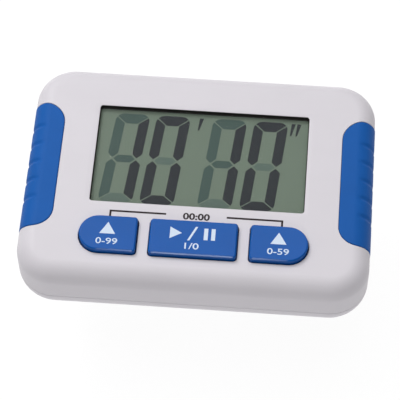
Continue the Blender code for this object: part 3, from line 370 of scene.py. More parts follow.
SHELL_COLOUR = (0.634, 0.608, 0.647)
GRIP_COLOUR = (0.008, 0.100, 0.385)
KEY_COLOUR = (0.003, 0.088, 0.37)
FILM_COLOUR = (0.130, 0.172, 0.130)
FINISHES = {
    "white_plastic": moulded("shell_white", SHELL_COLOUR, 0.45, drift=0.025, gloss=0.3),
    "blue_rubber": moulded(
        "grip_blue", GRIP_COLOUR, 0.55, grain=0.5 * MM, relief=0.012 * MM, drift=0.1, gloss=0.12
    ),
    "blue_plastic": moulded(
        "key_blue", KEY_COLOUR, 0.16, grain=0.3 * MM, relief=0.001 * MM, drift=0.06, gloss=0.2
    ),
    "clear_plastic": clear_lens(),
    "display_film": display_film("panel_film", FILM_COLOUR),
    "display_glass": moulded("panel_glass", (0.45, 0.52, 0.46), 0.12, relief=0.001 * MM),
    "black_rubber": moulded("gasket_black", (0.018, 0.016, 0.014), 0.7, relief=0.01 * MM, gloss=0.2),
    "circuit_board": board_finish(),
    "silicone": moulded("silicone_grey", (0.45, 0.46, 0.48), 0.55, relief=0.008 * MM),
    "carbon": moulded("carbon_black", (0.02, 0.02, 0.022), 0.8, relief=0.01 * MM),
    "epoxy": moulded("epoxy_black", (0.015, 0.015, 0.016), 0.3),
    "steel": metal("plated_steel", (0.56, 0.55, 0.54), 0.3),
    "brass": metal("buzzer_brass", (0.72, 0.50, 0.20), 0.3, brush=(0.05, 1.0, 1.0)),
    "ceramic": moulded("silvered_ceramic", (0.68, 0.67, 0.64), 0.5),
    "red_insulation": moulded("wire_red", (0.45, 0.02, 0.015), 0.4, coat=0.2),
    "black_insulation": moulded("wire_black", (0.02, 0.02, 0.02), 0.4, coat=0.2),
    "cell_sleeve": cell_finish(),
    "foam": moulded("foam_grey", (0.08, 0.08, 0.085), 0.95, grain=0.6 * MM, relief=0.15 * MM),
    "magnet": metal("magnet_nickel", (0.62, 0.60, 0.57), 0.2, relief=0.001 * MM),
    "screw": metal("screw_zinc", (0.50, 0.50, 0.52), 0.33),
    "dark_segment": display_film("segment_dark", (0.010, 0.013, 0.018), 0.08),
    "faint_segment": display_film("segment_faint", (0.039, 0.072, 0.062), 0.05),
    "fainter_segment": display_film("segment_fainter", (0.083, 0.124, 0.102), 0.05),
    "dark_ink": ink("ink_dark", (0.022, 0.014, 0.016)),
    "white_ink": ink("ink_white", (0.62, 0.72, 0.85)),
}


# ---------------- outlines
def arc(centre, radius, start, end, steps):
    """Points on an arc between two angles in degrees."""
    angles = [math.radians(start + (end - start) * i / steps) for i in range(steps + 1)]
    return [(centre[0] + radius * math.cos(a), centre[1] + radius * math.sin(a)) for a in angles]


def quarter_turn(steps):
    """How far in and how far short of the end a rounding of radius 1 stands at each of its steps."""
    bends = [math.pi / 2 * i / steps for i in range(steps + 1)]
    return [(1 - math.cos(bend), 1 - math.sin(bend)) for bend in bends]


def rounded_rectangle(half_x, half_y, corner, centre=(0.0, 0.0), steps=8):
    """A rectangle with round corners, anticlockwise, with as many points whatever its size."""
    points = []
    for turn, (side_x, side_y) in enumerate(((1, 1), (-1, 1), (-1, -1), (1, -1))):
        middle = (centre[0] + side_x * (half_x - corner), centre[1] + side_y * (half_y - corner))
        points += arc(middle, corner, 90 * turn, 90 * turn + 90, steps)
    return points


def circle(centre, radius, sides=48):
    return arc(centre, radius, 0, 360 - 360 / sides, sides - 1)


def circle_at(centre, radius, sides):
    """A function that gives a circle's outline, grown by a distance."""
    return lambda grow: circle(centre, radius + grow, sides)


def rectangle_at(low_x, high_x, low_y, high_y, corner):
    """A function that gives a rounded rectangle's outline, grown by a distance."""
    centre = ((low_x + high_x) / 2, (low_y + high_y) / 2)
    half_x, half_y = (high_x - low_x) / 2, (high_y - low_y) / 2

    def outline_at(grow):
        return rounded_rectangle(half_x + grow, half_y + grow, max(corner + grow, 0.05 * MM), centre)

    return outline_at


def case_outline(grow):
    half_x, half_y = HALF_WIDTH + grow, HALF_HEIGHT + grow
    return rounded_rectangle(half_x, half_y, CORNER_RADIUS + grow, steps=CORNER_STEPS)


def window_outline(grow):
    corner = max(WINDOW_CORNER + grow, 0.15 * MM)
    half_x, half_y = WINDOW_HALF_WIDTH + grow, WINDOW_HALF_HEIGHT + grow
    return rounded_rectangle(half_x, half_y, corner, (0.0, WINDOW_Y))


def key_outline(key, grow):
    """A button's outline, grown by a distance. The middle one is square and the others have a round end."""
    low, high, (_, middle_y) = node_box(f"{key}_button")
    grow -= KEY_FLANGE
    half_y = (high.y - low.y) / 2 + grow
    corner = max(KEY_CORNER + grow + KEY_FLANGE, 0.2 * MM)
    side = KEY_SIDES[key]
    if side == 0:
        return rounded_rectangle(high.x + grow, half_y, corner, (0.0, middle_y))
    inner = min(abs(low.x), abs(high.x)) - grow
    outer = max(abs(low.x), abs(high.x)) + grow
    outline = arc((outer - half_y, middle_y), half_y, -90, 90, 28)
    outline += arc((inner + corner, middle_y + half_y - corner), corner, 90, 180, 6)
    outline += arc((inner + corner, middle_y - half_y + corner), corner, 180, 270, 6)
    return [(side * x, y) for x, y in outline]


def node_box(node):
    """A node's lowest and highest corners and its middle in plan."""
    low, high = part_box(node)
    return low, high, ((low.x + high.x) / 2, (low.y + high.y) / 2)


# ---------------- making and cutting meshes
def new_piece(name, mesh, finish=None):
    piece = bpy.data.objects.new(name, mesh)
    bpy.context.scene.collection.objects.link(piece)
    if finish:
        mesh.materials.clear()
        mesh.materials.append(FINISHES[finish])
    return piece


def smooth(mesh, angle=32):
    mesh.shade_smooth()
    mesh.set_sharp_from_angle(angle=math.radians(angle))


def from_bmesh(name, bm, finish=None):
    """A piece from a bmesh, with its doubles merged and its faces turned outwards."""
    bmesh.ops.remove_doubles(bm, verts=bm.verts, dist=0.0005 * MM)
    bmesh.ops.recalc_face_normals(bm, faces=bm.faces)
    mesh = bpy.data.meshes.new(name)
    bm.to_mesh(mesh)
    bm.free()
    smooth(mesh)
    return new_piece(name, mesh, finish)


def loft(name, loops, finish=None, is_ring=False):
    """A closed solid through loops of as many points each, with two flat caps or, if a ring, with none."""
    bm = bmesh.new()
    rings = [[bm.verts.new(point) for point in loop] for loop in loops]
    for lower, upper in zip(rings, rings[1:] + (rings[:1] if is_ring else [])):
        for i, here in enumerate(lower):
            after = (i + 1) % len(lower)
            bm.faces.new((here, lower[after], upper[after], upper[i]))
    if not is_ring:
        bm.faces.new(rings[0])
        bm.faces.new(rings[-1])
    return from_bmesh(name, bm, finish)


def at_height(outline, z):
    return [(x, y, z) for x, y in outline]


def prism(name, outline, low, high, finish=None):
    return loft(name, [at_height(outline, low), at_height(outline, high)], finish)


def stack(name, outline_at, levels, finish=None, is_ring=False):
    """A solid whose outline is grown by a distance at each height. The levels are (grow, height)."""
    return loft(name, [at_height(outline_at(grow), z) for grow, z in levels], finish, is_ring)


def box(name, low, high):
    middle = [(low[axis] + high[axis]) / 2 for axis in (0, 1)]
    half = [(high[axis] - low[axis]) / 2 for axis in (0, 1)]
    corners = [(1, 1), (-1, 1), (-1, -1), (1, -1)]
    outline = [(middle[0] + x * half[0], middle[1] + y * half[1]) for x, y in corners]
    return prism(name, outline, low[2], high[2])


def printed(name, outline, z):
    """A mark as thick as a layer of ink, half of it proud of the surface at that height."""
    return prism(name, outline, z - PRINT_HEIGHT / 2, z + PRINT_HEIGHT / 2)


def rounded_plate(name, outline_at, low, high, rounding, finish=None, steps=4):
    """A plate whose edges are rounded above and below. outline_at(grow) gives its outline."""
    rise = [(rounding * rest, rounding * gone) for gone, rest in quarter_turn(steps)]
    levels = [(-inset, low + height) for inset, height in rise]
    levels += [(-inset, high - drop) for inset, drop in reversed(rise)]
    return stack(name, outline_at, levels, finish)


def turned(name, axis, profile, finish=None, centre=(0.0, 0.0), sides=64):
    """A solid of revolution about X or Z. The profile is (radius, place along the axis)."""
    loops = []
    for radius, along in profile:
        ring = circle(centre, max(radius, 0.02 * MM), sides)
        loops.append([(along, p, q) if axis == "X" else (p, q, along) for p, q in ring])
    return loft(name, loops, finish)


def settle(piece, finish=None, weld=0.0005 * MM):
    """Applies a piece's modifiers and gives it a clean mesh of its own."""
    graph = bpy.context.evaluated_depsgraph_get()
    mesh = bpy.data.meshes.new_from_object(piece.evaluated_get(graph))
    place = piece.matrix_world.copy()
    name = piece.name
    old = piece.data
    bpy.data.objects.remove(piece)
    if isinstance(old, bpy.types.Mesh):
        bpy.data.meshes.remove(old)
    mesh.name = name
    bm = bmesh.new()
    bm.from_mesh(mesh)
    bmesh.ops.transform(bm, matrix=place, verts=bm.verts)
    bmesh.ops.remove_doubles(bm, verts=bm.verts, dist=weld)
    bmesh.ops.dissolve_degenerate(bm, edges=bm.edges, dist=weld)
    loose = [edge for edge in bm.edges if not edge.link_faces]
    bmesh.ops.delete(bm, geom=loose, context="EDGES")
    bmesh.ops.recalc_face_normals(bm, faces=bm.faces)
    bm.to_mesh(mesh)
    bm.free()
    smooth(mesh)
    return new_piece(name, mesh, finish)


def combine(piece, operation, *tools, finish=None):
    """Cuts the tools from a piece, joins them to it or keeps what they share, and removes them."""
    for tool in tools:
        boolean = piece.modifiers.new(tool.name, "BOOLEAN")
        boolean.operation = operation
        boolean.solver = "EXACT"
        boolean.object = tool
    bpy.context.view_layer.update()
    piece = settle(piece, finish)
    for tool in tools:
        mesh = tool.data
        bpy.data.objects.remove(tool)
        bpy.data.meshes.remove(mesh)
    return piece


def merge(name, pieces, finish):
    """One piece from several that do not touch."""
    bm = bmesh.new()
    for piece in pieces:
        bm.from_mesh(piece.data)
        bpy.data.objects.remove(piece)
    mesh = bpy.data.meshes.new(name)
    bm.to_mesh(mesh)
    bm.free()
    smooth(mesh)
    return new_piece(name, mesh, finish)


def weight_normals(piece):
    """Keeps the flat faces evenly shaded where they meet small roundings."""
    weighted = piece.modifiers.new("even_shading", "WEIGHTED_NORMAL")
    weighted.keep_sharp = True
    weighted.weight = 70


def hand_over(piece, body, slot, *nodes):
    """The piece rides on a body and stands for CAD nodes. The slot is not used."""
    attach(piece, body)
    if nodes:
        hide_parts(*nodes)


# ---------------- geometry node trees
def new_geometry_tree(name, inputs):
    """A geometry tree with named inputs. Returns it and its inputs as values."""
    group = bpy.data.node_groups.new(name, "GeometryNodeTree")
    tree = Tree(group)
    for title, kind in inputs.items():
        group.interface.new_socket(title, in_out="INPUT", socket_type=f"NodeSocket{kind}")
    group.interface.new_socket("Geometry", in_out="OUTPUT", socket_type="NodeSocketGeometry")
    given = tree.node("NodeGroupInput")
    return tree, {title: given.output(title) for title in inputs}


def end_tree(tree, geometry, material):
    """Ends a geometry tree with real geometry in the given material."""
    real = tree.node("GeometryNodeRealizeInstances", None, {"Geometry": geometry})
    painted = tree.node("GeometryNodeSetMaterial", None, {"Geometry": real, "Material": material})
    tree.node("NodeGroupOutput", None, {"Geometry": painted})


def grown(name, tree, finish=None, **values):
    """A plain mesh piece made by a geometry tree from its named inputs."""
    piece = new_piece(name, bpy.data.meshes.new(name))
    modifier = piece.modifiers.new(name, "NODES")
    modifier.node_group = tree.tree
    keys = {
        item.name: item.identifier
        for item in tree.tree.interface.items_tree
        if item.item_type == "SOCKET" and item.in_out == "INPUT"
    }
    for title, value in values.items():
        modifier[keys[title]] = value
    bpy.context.view_layer.update()
    return settle(piece, finish)


def pad_tree():
    """A pad bent round the case's upper side edge.

    A grid runs across the pad, from its inner line on the face to its foot at the seam, and along it.
    Its outer row and column drop to the base, and a second grid closes the base.
    """
    numbers = (
        "side", "inner_x", "low_y", "high_y", "low_corner", "high_corner", "foot_z",
        "top_grow", "base_grow", "lift", "depth", "edge",
        "groove_y", "groove_depth", "groove_count", "groove_pitch", "groove_width",
    )
    inputs = {name: "Float" for name in numbers}
    inputs |= {"rows": "Int", "columns": "Int", "material": "Material"}
    tree, given = new_geometry_tree("wrapped_pad", inputs)
    top = pad_layer(tree, given, 0.0)
    base = pad_layer(tree, given, 1.0)
    base = tree.node("GeometryNodeFlipFaces", None, {"Mesh": base})
    joined = tree.node("GeometryNodeJoinGeometry")
    for layer in (base, top):
        tree.tree.links.new(layer.socket, joined.socket.node.inputs[0])
    end_tree(tree, joined, given["material"])
    return tree


def pad_layer(tree, given, is_base):
    """The pad's top, with its edge rounded and its grooves, or its base."""
    sockets = {"Size X": 1.0, "Size Y": 1.0, "Vertices X": given["rows"], "Vertices Y": given["columns"]}
    grid = tree.node("GeometryNodeMeshGrid", None, sockets, output="Mesh")
    spot = tree.node("ShaderNodeSeparateXYZ", None, {0: tree.node("GeometryNodeInputPosition")})
    rows, columns = given["rows"], given["columns"]
    across = spot.output("X") * (rows - 1.0) / (rows - 3.0) + 0.5
    along = spot.output("Y") * (columns - 1.0) / (columns - 3.0) + 0.5
    beyond = abs(across - 0.5).most(abs(along - 0.5)) > 0.5001
    low = beyond.most(is_base)
    across = across.within(0.0, 1.0)
    along = along.within(0.0, 1.0)

    grow = given["top_grow"] + (given["base_grow"] - given["top_grow"]) * low
    flat = HALF_WIDTH - FACE_FILLET - given["inner_x"] + grow
    bend_length = FACE_FILLET * math.pi / 2
    drop = FACE_Z - FACE_FILLET - given["foot_z"]
    walk = across * across * (flat + bend_length + drop)  # finest at the inner line, where corners turn
    angle = ((walk - flat) / FACE_FILLET).within(0.0, math.pi / 2)
    fall = (walk - flat - bend_length).most(0.0)
    reach = walk.least(flat) + FACE_FILLET * angle.sine()  # in plan, from the inner line

    def corner_shift(radius):
        """How far the outline's end stands in from its furthest line, at this reach."""
        left = (radius - reach).most(0.0)
        return radius - (radius * radius - left * left).root()

    high_radius = given["high_corner"] + grow
    low_radius = given["low_corner"] + grow
    high_line = given["high_y"] + grow
    low_line = given["low_y"] - grow
    top_y = high_line - corner_shift(high_radius)
    bottom_y = low_line + corner_shift(low_radius)
    y = bottom_y + (top_y - bottom_y) * along

    def distance(radius, past):
        """Distance to the outline near a corner, where past is how far y is past the corner's centre."""
        left = radius - reach
        outside = (left.most(0.0) * left.most(0.0) + past.most(0.0) * past.most(0.0)).root()
        return radius - outside - left.most(past).least(0.0)

    edge_distance = distance(high_radius, y - (high_line - high_radius)).least(
        distance(low_radius, (low_line + low_radius) - y)
    )
    edge_distance = edge_distance.least(flat + bend_length + drop - walk)
    share = (1.0 - edge_distance / given["edge"]).within(0.0, 1.0)
    rounding = given["edge"] * (1.0 - (1.0 - share * share).root())

    step = (y - given["groove_y"]) / given["groove_pitch"]
    inside_row = 1.0 - (abs(step) > given["groove_count"] / 2.0)
    to_groove = abs((step + 0.5 + 20.0).fraction() - 0.5) * given["groove_pitch"]
    notch = (1.0 - to_groove / given["groove_width"]).ease()
    fade = ((angle - 0.1) / 0.5).ease()
    groove = given["groove_depth"] * notch * fade * inside_row

    height = (given["lift"] - rounding - groove) * (1.0 - low) - given["depth"] * low
    radius = FACE_FILLET + height
    x = (HALF_WIDTH - FACE_FILLET - flat + walk.least(flat) + radius * angle.sine()) * given["side"]
    z = FACE_Z - FACE_FILLET - fall + radius * angle.cosine()
    spot = tree.node("ShaderNodeCombineXYZ", None, {"X": x, "Y": y, "Z": z})
    return tree.node("GeometryNodeSetPosition", None, {"Geometry": grid, "Position": spot})


def copies_tree(name, inputs, points_kind, sockets):
    """Copies of a piece on the points that a node makes. Its sockets take named inputs or plain values."""
    tree, given = new_geometry_tree(name, {"piece": "Object", **inputs, "material": "Material"})
    fed = {socket: given.get(source, source) for socket, source in sockets.items()}
    points = tree.node(points_kind, None, fed)
    copy = tree.node("GeometryNodeObjectInfo", None, {"Object": given["piece"]}, output="Geometry")
    copies = tree.node("GeometryNodeInstanceOnPoints", None, {"Points": points, "Instance": copy})
    end_tree(tree, copies, given["material"])
    return tree


PAD = pad_tree()
ROW = copies_tree(
    "row_of_pieces",
    {"count": "Int", "step": "Vector"},
    "GeometryNodeMeshLine",
    {"Count": "count", "Offset": "step"},
)
RING = copies_tree(
    "ring_of_pieces",
    {"count": "Int", "radius": "Float"},
    "GeometryNodeMeshCircle",
    {"Vertices": "count", "Radius": "radius"},
)
CORNERS = copies_tree(
    "pieces_at_corners",
    {"width": "Float", "height": "Float"},
    "GeometryNodeMeshGrid",
    {"Size X": "width", "Size Y": "height", "Vertices X": 2, "Vertices Y": 2},
)


def copied(name, tree, piece, finish, shift=(0.0, 0.0, 0.0), **values):
    """Copies of a piece placed by a tree, moved to their place, as one mesh. The piece is used up."""
    made = grown(name, tree, finish, piece=piece, material=FINISHES[finish], **values)
    made.data.transform(Matrix.Translation(shift))
    bpy.data.objects.remove(piece)
    return made


# ---------------- side grips
GRIP_GAP = 0.07 * MM
GROOVE = {
    "groove_y": 1.6 * MM,
    "groove_count": 5.0,
    "groove_pitch": 5.1 * MM,
    "groove_width": 1.0 * MM,
}


def pad(name, side, finish, **values):
    """A pad of the grips' outline on one side of the case."""
    sizes = {
        "side": float(side),
        "inner_x": GRIP_INNER_X,
        "low_y": GRIP_LOW.y,
        "high_y": GRIP_HIGH.y,
        "low_corner": GRIP_LOW_CORNER,
        "high_corner": GRIP_HIGH_CORNER,
        "foot_z": GRIP_LOW.z,
        "top_grow": 0.0,
        "base_grow": 0.0,
        "lift": GRIP_PROUD,
        "depth": 0.9 * MM,
        "edge": 0.01 * MM,
        "groove_depth": 0.0,
        **GROOVE,
        "rows": 40,
        "columns": 60,
        "material": FINISHES[finish],
    }
    sizes.update(values)
    return grown(name, PAD, finish, **sizes)


def make_grips():
    for name, side in (("left", -1), ("right", 1)):
        grip = pad(
            f"{name}_grip_pad",
            side,
            "blue_rubber",
            edge=GRIP_ROUNDING,
            groove_depth=0.3 * MM,
            rows=130,
            columns=280,
        )
        hand_over(grip, "case", "blue_rubber", f"{name}_grip")


def grip_recess(side):
    """Cutters for a grip's recess in the front cover: the pocket, and the rounding of its mouth."""
    below_seam = SEAM_Z - THROUGH
    pocket = pad(
        f"pocket_{side}", side, "white_plastic",
        top_grow=GRIP_GAP, base_grow=GRIP_GAP, lift=0.6 * MM, depth=1.0 * MM, foot_z=below_seam,
    )
    mouth = pad(
        f"mouth_{side}", side, "white_plastic",
        top_grow=GRIP_GAP + 0.14 * MM, base_grow=GRIP_GAP, lift=0.07 * MM, depth=0.07 * MM, foot_z=below_seam,
    )
    return pocket, mouth


# ---------------- case
def shell(name, edge_z, face_z, fillet, wall, floor_wall):
    """An open shell, from the outside of its face round its rim to the inside of its face."""
    outward = 1 if face_z > edge_z else -1
    inner_fillet = fillet - floor_wall
    inside = face_z - outward * floor_wall
    levels = []
    for gone, rest in quarter_turn(FILLET_STEPS):
        levels.append((-fillet * rest, face_z - outward * fillet * gone))
    for gone, rest in quarter_turn(3):
        levels.append((-SEAM_ROUNDING * gone, edge_z + outward * SEAM_ROUNDING * rest))
    levels.append((-wall, edge_z))
    for gone, rest in quarter_turn(4):
        levels.append((-wall - inner_fillet * gone, inside - outward * inner_fillet * rest))
    return stack(name, case_outline, levels)


def mouth_cutter(name, outline_at, low, gap, rounding):
    """A cutter for an opening in the face whose mouth is rounded."""
    levels = [(gap, low)]
    levels += [(gap + rounding * gone, FACE_Z - rounding * rest) for gone, rest in quarter_turn(4)]
    levels.append((gap + rounding + 0.1 * MM, FACE_Z + THROUGH))
    return stack(name, outline_at, levels)


def window_cutter():
    """The window's cutter: straight walls, then a shallow dish that runs out into the face."""
    shares = [i / DISH_STEPS for i in range(DISH_STEPS + 1)]
    levels = [(0.0, FACE_Z - FACE_WALL - THROUGH)]
    levels += [(DISH_WIDTH * share, FACE_Z - DISH_DEPTH * (1 - share) ** 2) for share in shares]
    levels.append((DISH_WIDTH + 0.05 * MM, FACE_Z + THROUGH))
    return stack("window_cutter", window_outline, levels)


def make_front_cover():
    cover = shell("front_shell", SEAM_Z + SEAM_GAP, FACE_Z, FACE_FILLET, SIDE_WALL, FACE_WALL)
    inside = FACE_Z - FACE_WALL - THROUGH
    holes = [
        mouth_cutter(f"{key}_hole", partial(key_outline, key), inside, KEY_GAP, 0.12 * MM)
        for key in KEY_SIDES
    ]
    cover = combine(cover, "DIFFERENCE", window_cutter(), *holes)
    cover = combine(cover, "DIFFERENCE", *grip_recess(-1), *grip_recess(1), finish="white_plastic")
    weight_normals(cover)
    hand_over(cover, "case", "white_plastic", "front_cover")


PAD_LOW = 1.0 * MM
DOOR_GAP = 0.15 * MM
BAY_HALF_LENGTH = 25.2 * MM
BAY_LOW_Y = 5.5 * MM
BAY_HIGH_Y = 16.5 * MM
BAY_TOP = 12.5 * MM
BAY_WALL = 1.2 * MM
DOOR_REBATE = 1.5 * MM
DOOR_PLATE_HIGH_Y = DOOR_LOW.y + 14.8 * MM
DOOR_PLATE_HEIGHT = 1.3 * MM
TAB_X = 15 * MM
TAB_HALF_WIDTH = 2 * MM
TAB_GAP = 0.4 * MM
TAB_TOP = 2.4 * MM
STAND_HALF_WIDTH = 16.8 * MM
STAND_PLATE_HEIGHT = 1.6 * MM
BARREL_RADIUS = 1.0 * MM
PIN_RADIUS = 0.75 * MM
HINGE_BORE_RADIUS = 0.9 * MM
HINGE_BORE_HALF_LENGTH = 18.6 * MM
STAND_RECESS_HALF_WIDTH = 17.1 * MM
STAND_RECESS_LOW_Y = -26.2 * MM
STAND_RECESS_HIGH_Y = -0.6 * MM
STAND_RECESS_DEPTH = 2.8 * MM
STAND_AXIS = (-2.2 * MM, 1.5 * MM)
SCREW_SPAN = (68.6 * MM, 44.4 * MM)
HEAD_RECESS_RADIUS = 2.3 * MM
HEAD_RECESS_DEPTH = 2.2 * MM
PILLAR_RADIUS = 2.9 * MM
PILLAR_TOP = 5.7 * MM
SHANK_BORE_RADIUS = 1.15 * MM
SHANK_BORE_TOP = 8 * MM
MAGNETS = ("left_magnet", "right_magnet")
MAGNET_PAD_RADIUS = 6.5 * MM
MAGNET_PAD_TOP = 3.5 * MM
MAGNET_GAP = 0.12 * MM
MAGNET_POCKET_DEPTH = 2.1 * MM
SOUND_CENTRE = (0.0, -13.0 * MM)
SOUND_HOLE_RADIUS = 0.7 * MM
SOUND_HOLE_COUNT = 6
SOUND_RING_RADIUS = 4 * MM


def back_mouth(name, outline_at, depth, rounding=0.15 * MM):
    """A cutter for a recess in the back whose mouth is rounded."""
    levels = [(rounding + 0.1 * MM, -THROUGH)]
    levels += [(rounding * rest, rounding * gone) for gone, rest in quarter_turn(4)]
    return stack(name, outline_at, [*levels, (0.0, depth)])


def at_screws(name, piece, finish):
    """A piece at each of the four case screws, as one mesh."""
    return copied(name, CORNERS, piece, finish, width=SCREW_SPAN[0], height=SCREW_SPAN[1])


def make_back_cover():
    wall = SIDE_WALL + 1.3 * MM
    cover = shell("back_shell", SEAM_Z - SEAM_GAP, 0.0, BACK_FILLET, wall, BACK_WALL)
    cover = combine(cover, "UNION", *back_pads())
    cover = combine(cover, "DIFFERENCE", *back_cutters(), finish="white_plastic")
    weight_normals(cover)
    hand_over(cover, "case", "white_plastic", "back_cover")


def back_pads():
    """The thick places inside the back cover: the bay, the stand's and magnets' pads and the pillars."""
    door_pad = box(
        "door_pad",
        (DOOR_LOW.x - 2 * MM, DOOR_LOW.y - 2 * MM, PAD_LOW),
        (DOOR_HIGH.x + 2 * MM, DOOR_HIGH.y, 3 * MM),
    )
    bay = box(
        "bay",
        (-BAY_HALF_LENGTH - BAY_WALL, BAY_LOW_Y - BAY_WALL, 1.5 * MM),
        (BAY_HALF_LENGTH + BAY_WALL, BAY_HIGH_Y + BAY_WALL, BAY_TOP + 0.8 * MM),
    )
    stand_pad = box("stand_pad", (-20 * MM, -27.1 * MM, PAD_LOW), (20 * MM, 1 * MM, 4.2 * MM))
    pads = [door_pad, bay, stand_pad]
    for magnet in MAGNETS:
        centre = node_box(magnet)[2]
        pads.append(prism(f"{magnet}_pad", circle(centre, MAGNET_PAD_RADIUS), PAD_LOW, MAGNET_PAD_TOP))
    pillar = prism("pillar", circle((0, 0), PILLAR_RADIUS, 32), PAD_LOW, PILLAR_TOP)
    pads.append(at_screws("pillars", pillar, "white_plastic"))
    return pads


def rod(name, radius, low_x, high_x):
    """A round bar on the stand's axis."""
    return turned(name, "X", [(radius, low_x), (radius, high_x)], centre=STAND_AXIS)


def sound_hole(name, centre):
    return prism(name, circle(centre, SOUND_HOLE_RADIUS, 24), 1.5 * MM, 6 * MM)


def back_cutters():
    """Everything that is cut from the back cover."""
    rebate_x = (DOOR_LOW.x - DOOR_GAP, DOOR_HIGH.x + DOOR_GAP)
    rebate = rectangle_at(*rebate_x, DOOR_LOW.y - DOOR_GAP, DOOR_PLATE_HIGH_Y + DOOR_GAP, 0.8 * MM)
    recess_x = (-STAND_RECESS_HALF_WIDTH, STAND_RECESS_HALF_WIDTH)
    recess = rectangle_at(*recess_x, STAND_RECESS_LOW_Y, STAND_RECESS_HIGH_Y, 1.2 * MM)
    cutters = [
        back_mouth("door_rebate", rebate, DOOR_REBATE),
        box("bay_inside", (-BAY_HALF_LENGTH, BAY_LOW_Y, 0.5 * MM), (BAY_HALF_LENGTH, BAY_HIGH_Y, BAY_TOP)),
        back_mouth("stand_recess", recess, STAND_RECESS_DEPTH),
        prism("finger_notch", circle((0.0, DOOR_LOW.y), 2.6 * MM, 40), -THROUGH, 1.2 * MM),
        rod("hinge_bore", HINGE_BORE_RADIUS, -HINGE_BORE_HALF_LENGTH, HINGE_BORE_HALF_LENGTH),
    ]
    for magnet in MAGNETS:
        low, high, centre = node_box(magnet)
        outline_at = circle_at(centre, (high.x - low.x) / 2 + MAGNET_GAP, 64)
        cutters.append(back_mouth(f"{magnet}_pocket", outline_at, MAGNET_POCKET_DEPTH))
    reach = TAB_HALF_WIDTH + TAB_GAP
    for x in (-TAB_X, TAB_X):
        low = (x - reach, BAY_HIGH_Y - 0.5 * MM, DOOR_REBATE - 0.1 * MM)
        cutters.append(box("tab_slot", low, (x + reach, 20.4 * MM, 3.6 * MM)))
    head = back_mouth("head", circle_at((0, 0), HEAD_RECESS_RADIUS, 40), HEAD_RECESS_DEPTH)
    shank = prism("shank", circle((0, 0), SHANK_BORE_RADIUS, 24), 0.0, SHANK_BORE_TOP)
    for piece in (head, shank):
        cutters.append(at_screws(f"{piece.name}_cutters", piece, "white_plastic"))
    ring = {"count": SOUND_HOLE_COUNT, "radius": SOUND_RING_RADIUS}
    hole = sound_hole("sound_hole", (0, 0))
    cutters.append(copied("sound_ring", RING, hole, "white_plastic", (*SOUND_CENTRE, 0.0), **ring))
    cutters.append(sound_hole("middle_hole", SOUND_CENTRE))
    return cutters


# ---------------- display
def make_lens_and_gasket():
    lens_edge = -WINDOW_MARGIN + 0.05 * MM

    def lens_outline(grow):
        return window_outline(lens_edge + grow)

    lens = rounded_plate("lens_window", lens_outline, LENS_LOW.z, LENS_HIGH.z, 0.06 * MM, "clear_plastic")
    hand_over(lens, "case", "clear_plastic", "display_lens")
    outside = -0.01 * MM
    wall = -0.09 * MM
    ledge = -0.17 * MM
    bevel = 0.03 * MM
    shoulder = GASKET_HIGH.z - 0.05 * MM
    ledge_top = LENS_LOW.z - 0.03 * MM
    levels = [(outside, GASKET_LOW.z), (outside, shoulder), (outside - bevel, GASKET_HIGH.z)]
    levels += [(wall + bevel, GASKET_HIGH.z), (wall, shoulder), (wall, ledge_top)]
    levels += [(ledge, ledge_top), (ledge, GASKET_LOW.z)]
    gasket = stack("gasket_frame", window_outline, levels, "black_rubber", is_ring=True)
    hand_over(gasket, "case", "black_rubber", "lcd_gasket")


DIGIT_HEIGHT = 26.0 * MM
DIGIT_WIDTH = 8.45 * MM
DIGIT_CENTRES = (-18.9 * MM, -8.8 * MM, 5.3 * MM, 15.55 * MM)
DIGIT_SLANT = math.tan(math.radians(5.2))
DIGIT_Y = 4.65 * MM
UPRIGHT_WIDTH = 2.5 * MM
BAR_HEIGHTS = {1: 2.9 * MM, -1: 2.7 * MM}
MIDDLE_HEIGHT = 2.1 * MM
MIDDLE_Y = -0.3 * MM
SEGMENT_GAP = 0.26 * MM
DIGIT_CORNER = 2.2 * MM
UPRIGHT_ENDS_AT = 31  # degrees round the digit's corner
BAR_STARTS_AT = 38
LIT = {"one": {"right_upper", "right_lower"}}
LIT["nought"] = LIT["one"] | {"left_upper", "left_lower", "top", "bottom"}


def upright(side, end):
    """An upright segment in one quarter of a digit: side is -1 or 1 in X, end is -1 or 1 in Y."""
    half_width, half_height = DIGIT_WIDTH / 2, DIGIT_HEIGHT / 2
    bar = BAR_HEIGHTS[end]
    start = end * MIDDLE_Y + SEGMENT_GAP
    shoulder = start + UPRIGHT_WIDTH / 2
    centre = (half_width - DIGIT_CORNER, half_height - DIGIT_CORNER)
    outline = [(half_width - UPRIGHT_WIDTH / 2, start), (half_width, shoulder)]
    outline += arc(centre, DIGIT_CORNER, 0, UPRIGHT_ENDS_AT, 5)
    outline += [(half_width - UPRIGHT_WIDTH, half_height - bar), (half_width - UPRIGHT_WIDTH, shoulder)]
    return [(side * x, end * y) for x, y in outline]


def bar(end):
    """The top or bottom segment of a digit."""
    half_width, half_height = DIGIT_WIDTH / 2, DIGIT_HEIGHT / 2
    centre = (half_width - DIGIT_CORNER, half_height - DIGIT_CORNER)
    inner = (half_width - UPRIGHT_WIDTH - 1.3 * SEGMENT_GAP, half_height - BAR_HEIGHTS[end])
    right = [inner] + arc(centre, DIGIT_CORNER, BAR_STARTS_AT, 90, 5)
    outline = right + [(-x, y) for x, y in reversed(right)]
    return [(x, end * y) for x, y in outline]


def middle_bar():
    tip = DIGIT_WIDTH / 2 - UPRIGHT_WIDTH / 2 - 1.2 * SEGMENT_GAP
    shoulder = tip - MIDDLE_HEIGHT * 0.5
    half = MIDDLE_HEIGHT / 2
    right = [(shoulder, -half), (tip, 0.0), (shoulder, half)]
    return [(x, y + MIDDLE_Y) for x, y in right + [(-x, -y) for x, y in right]]


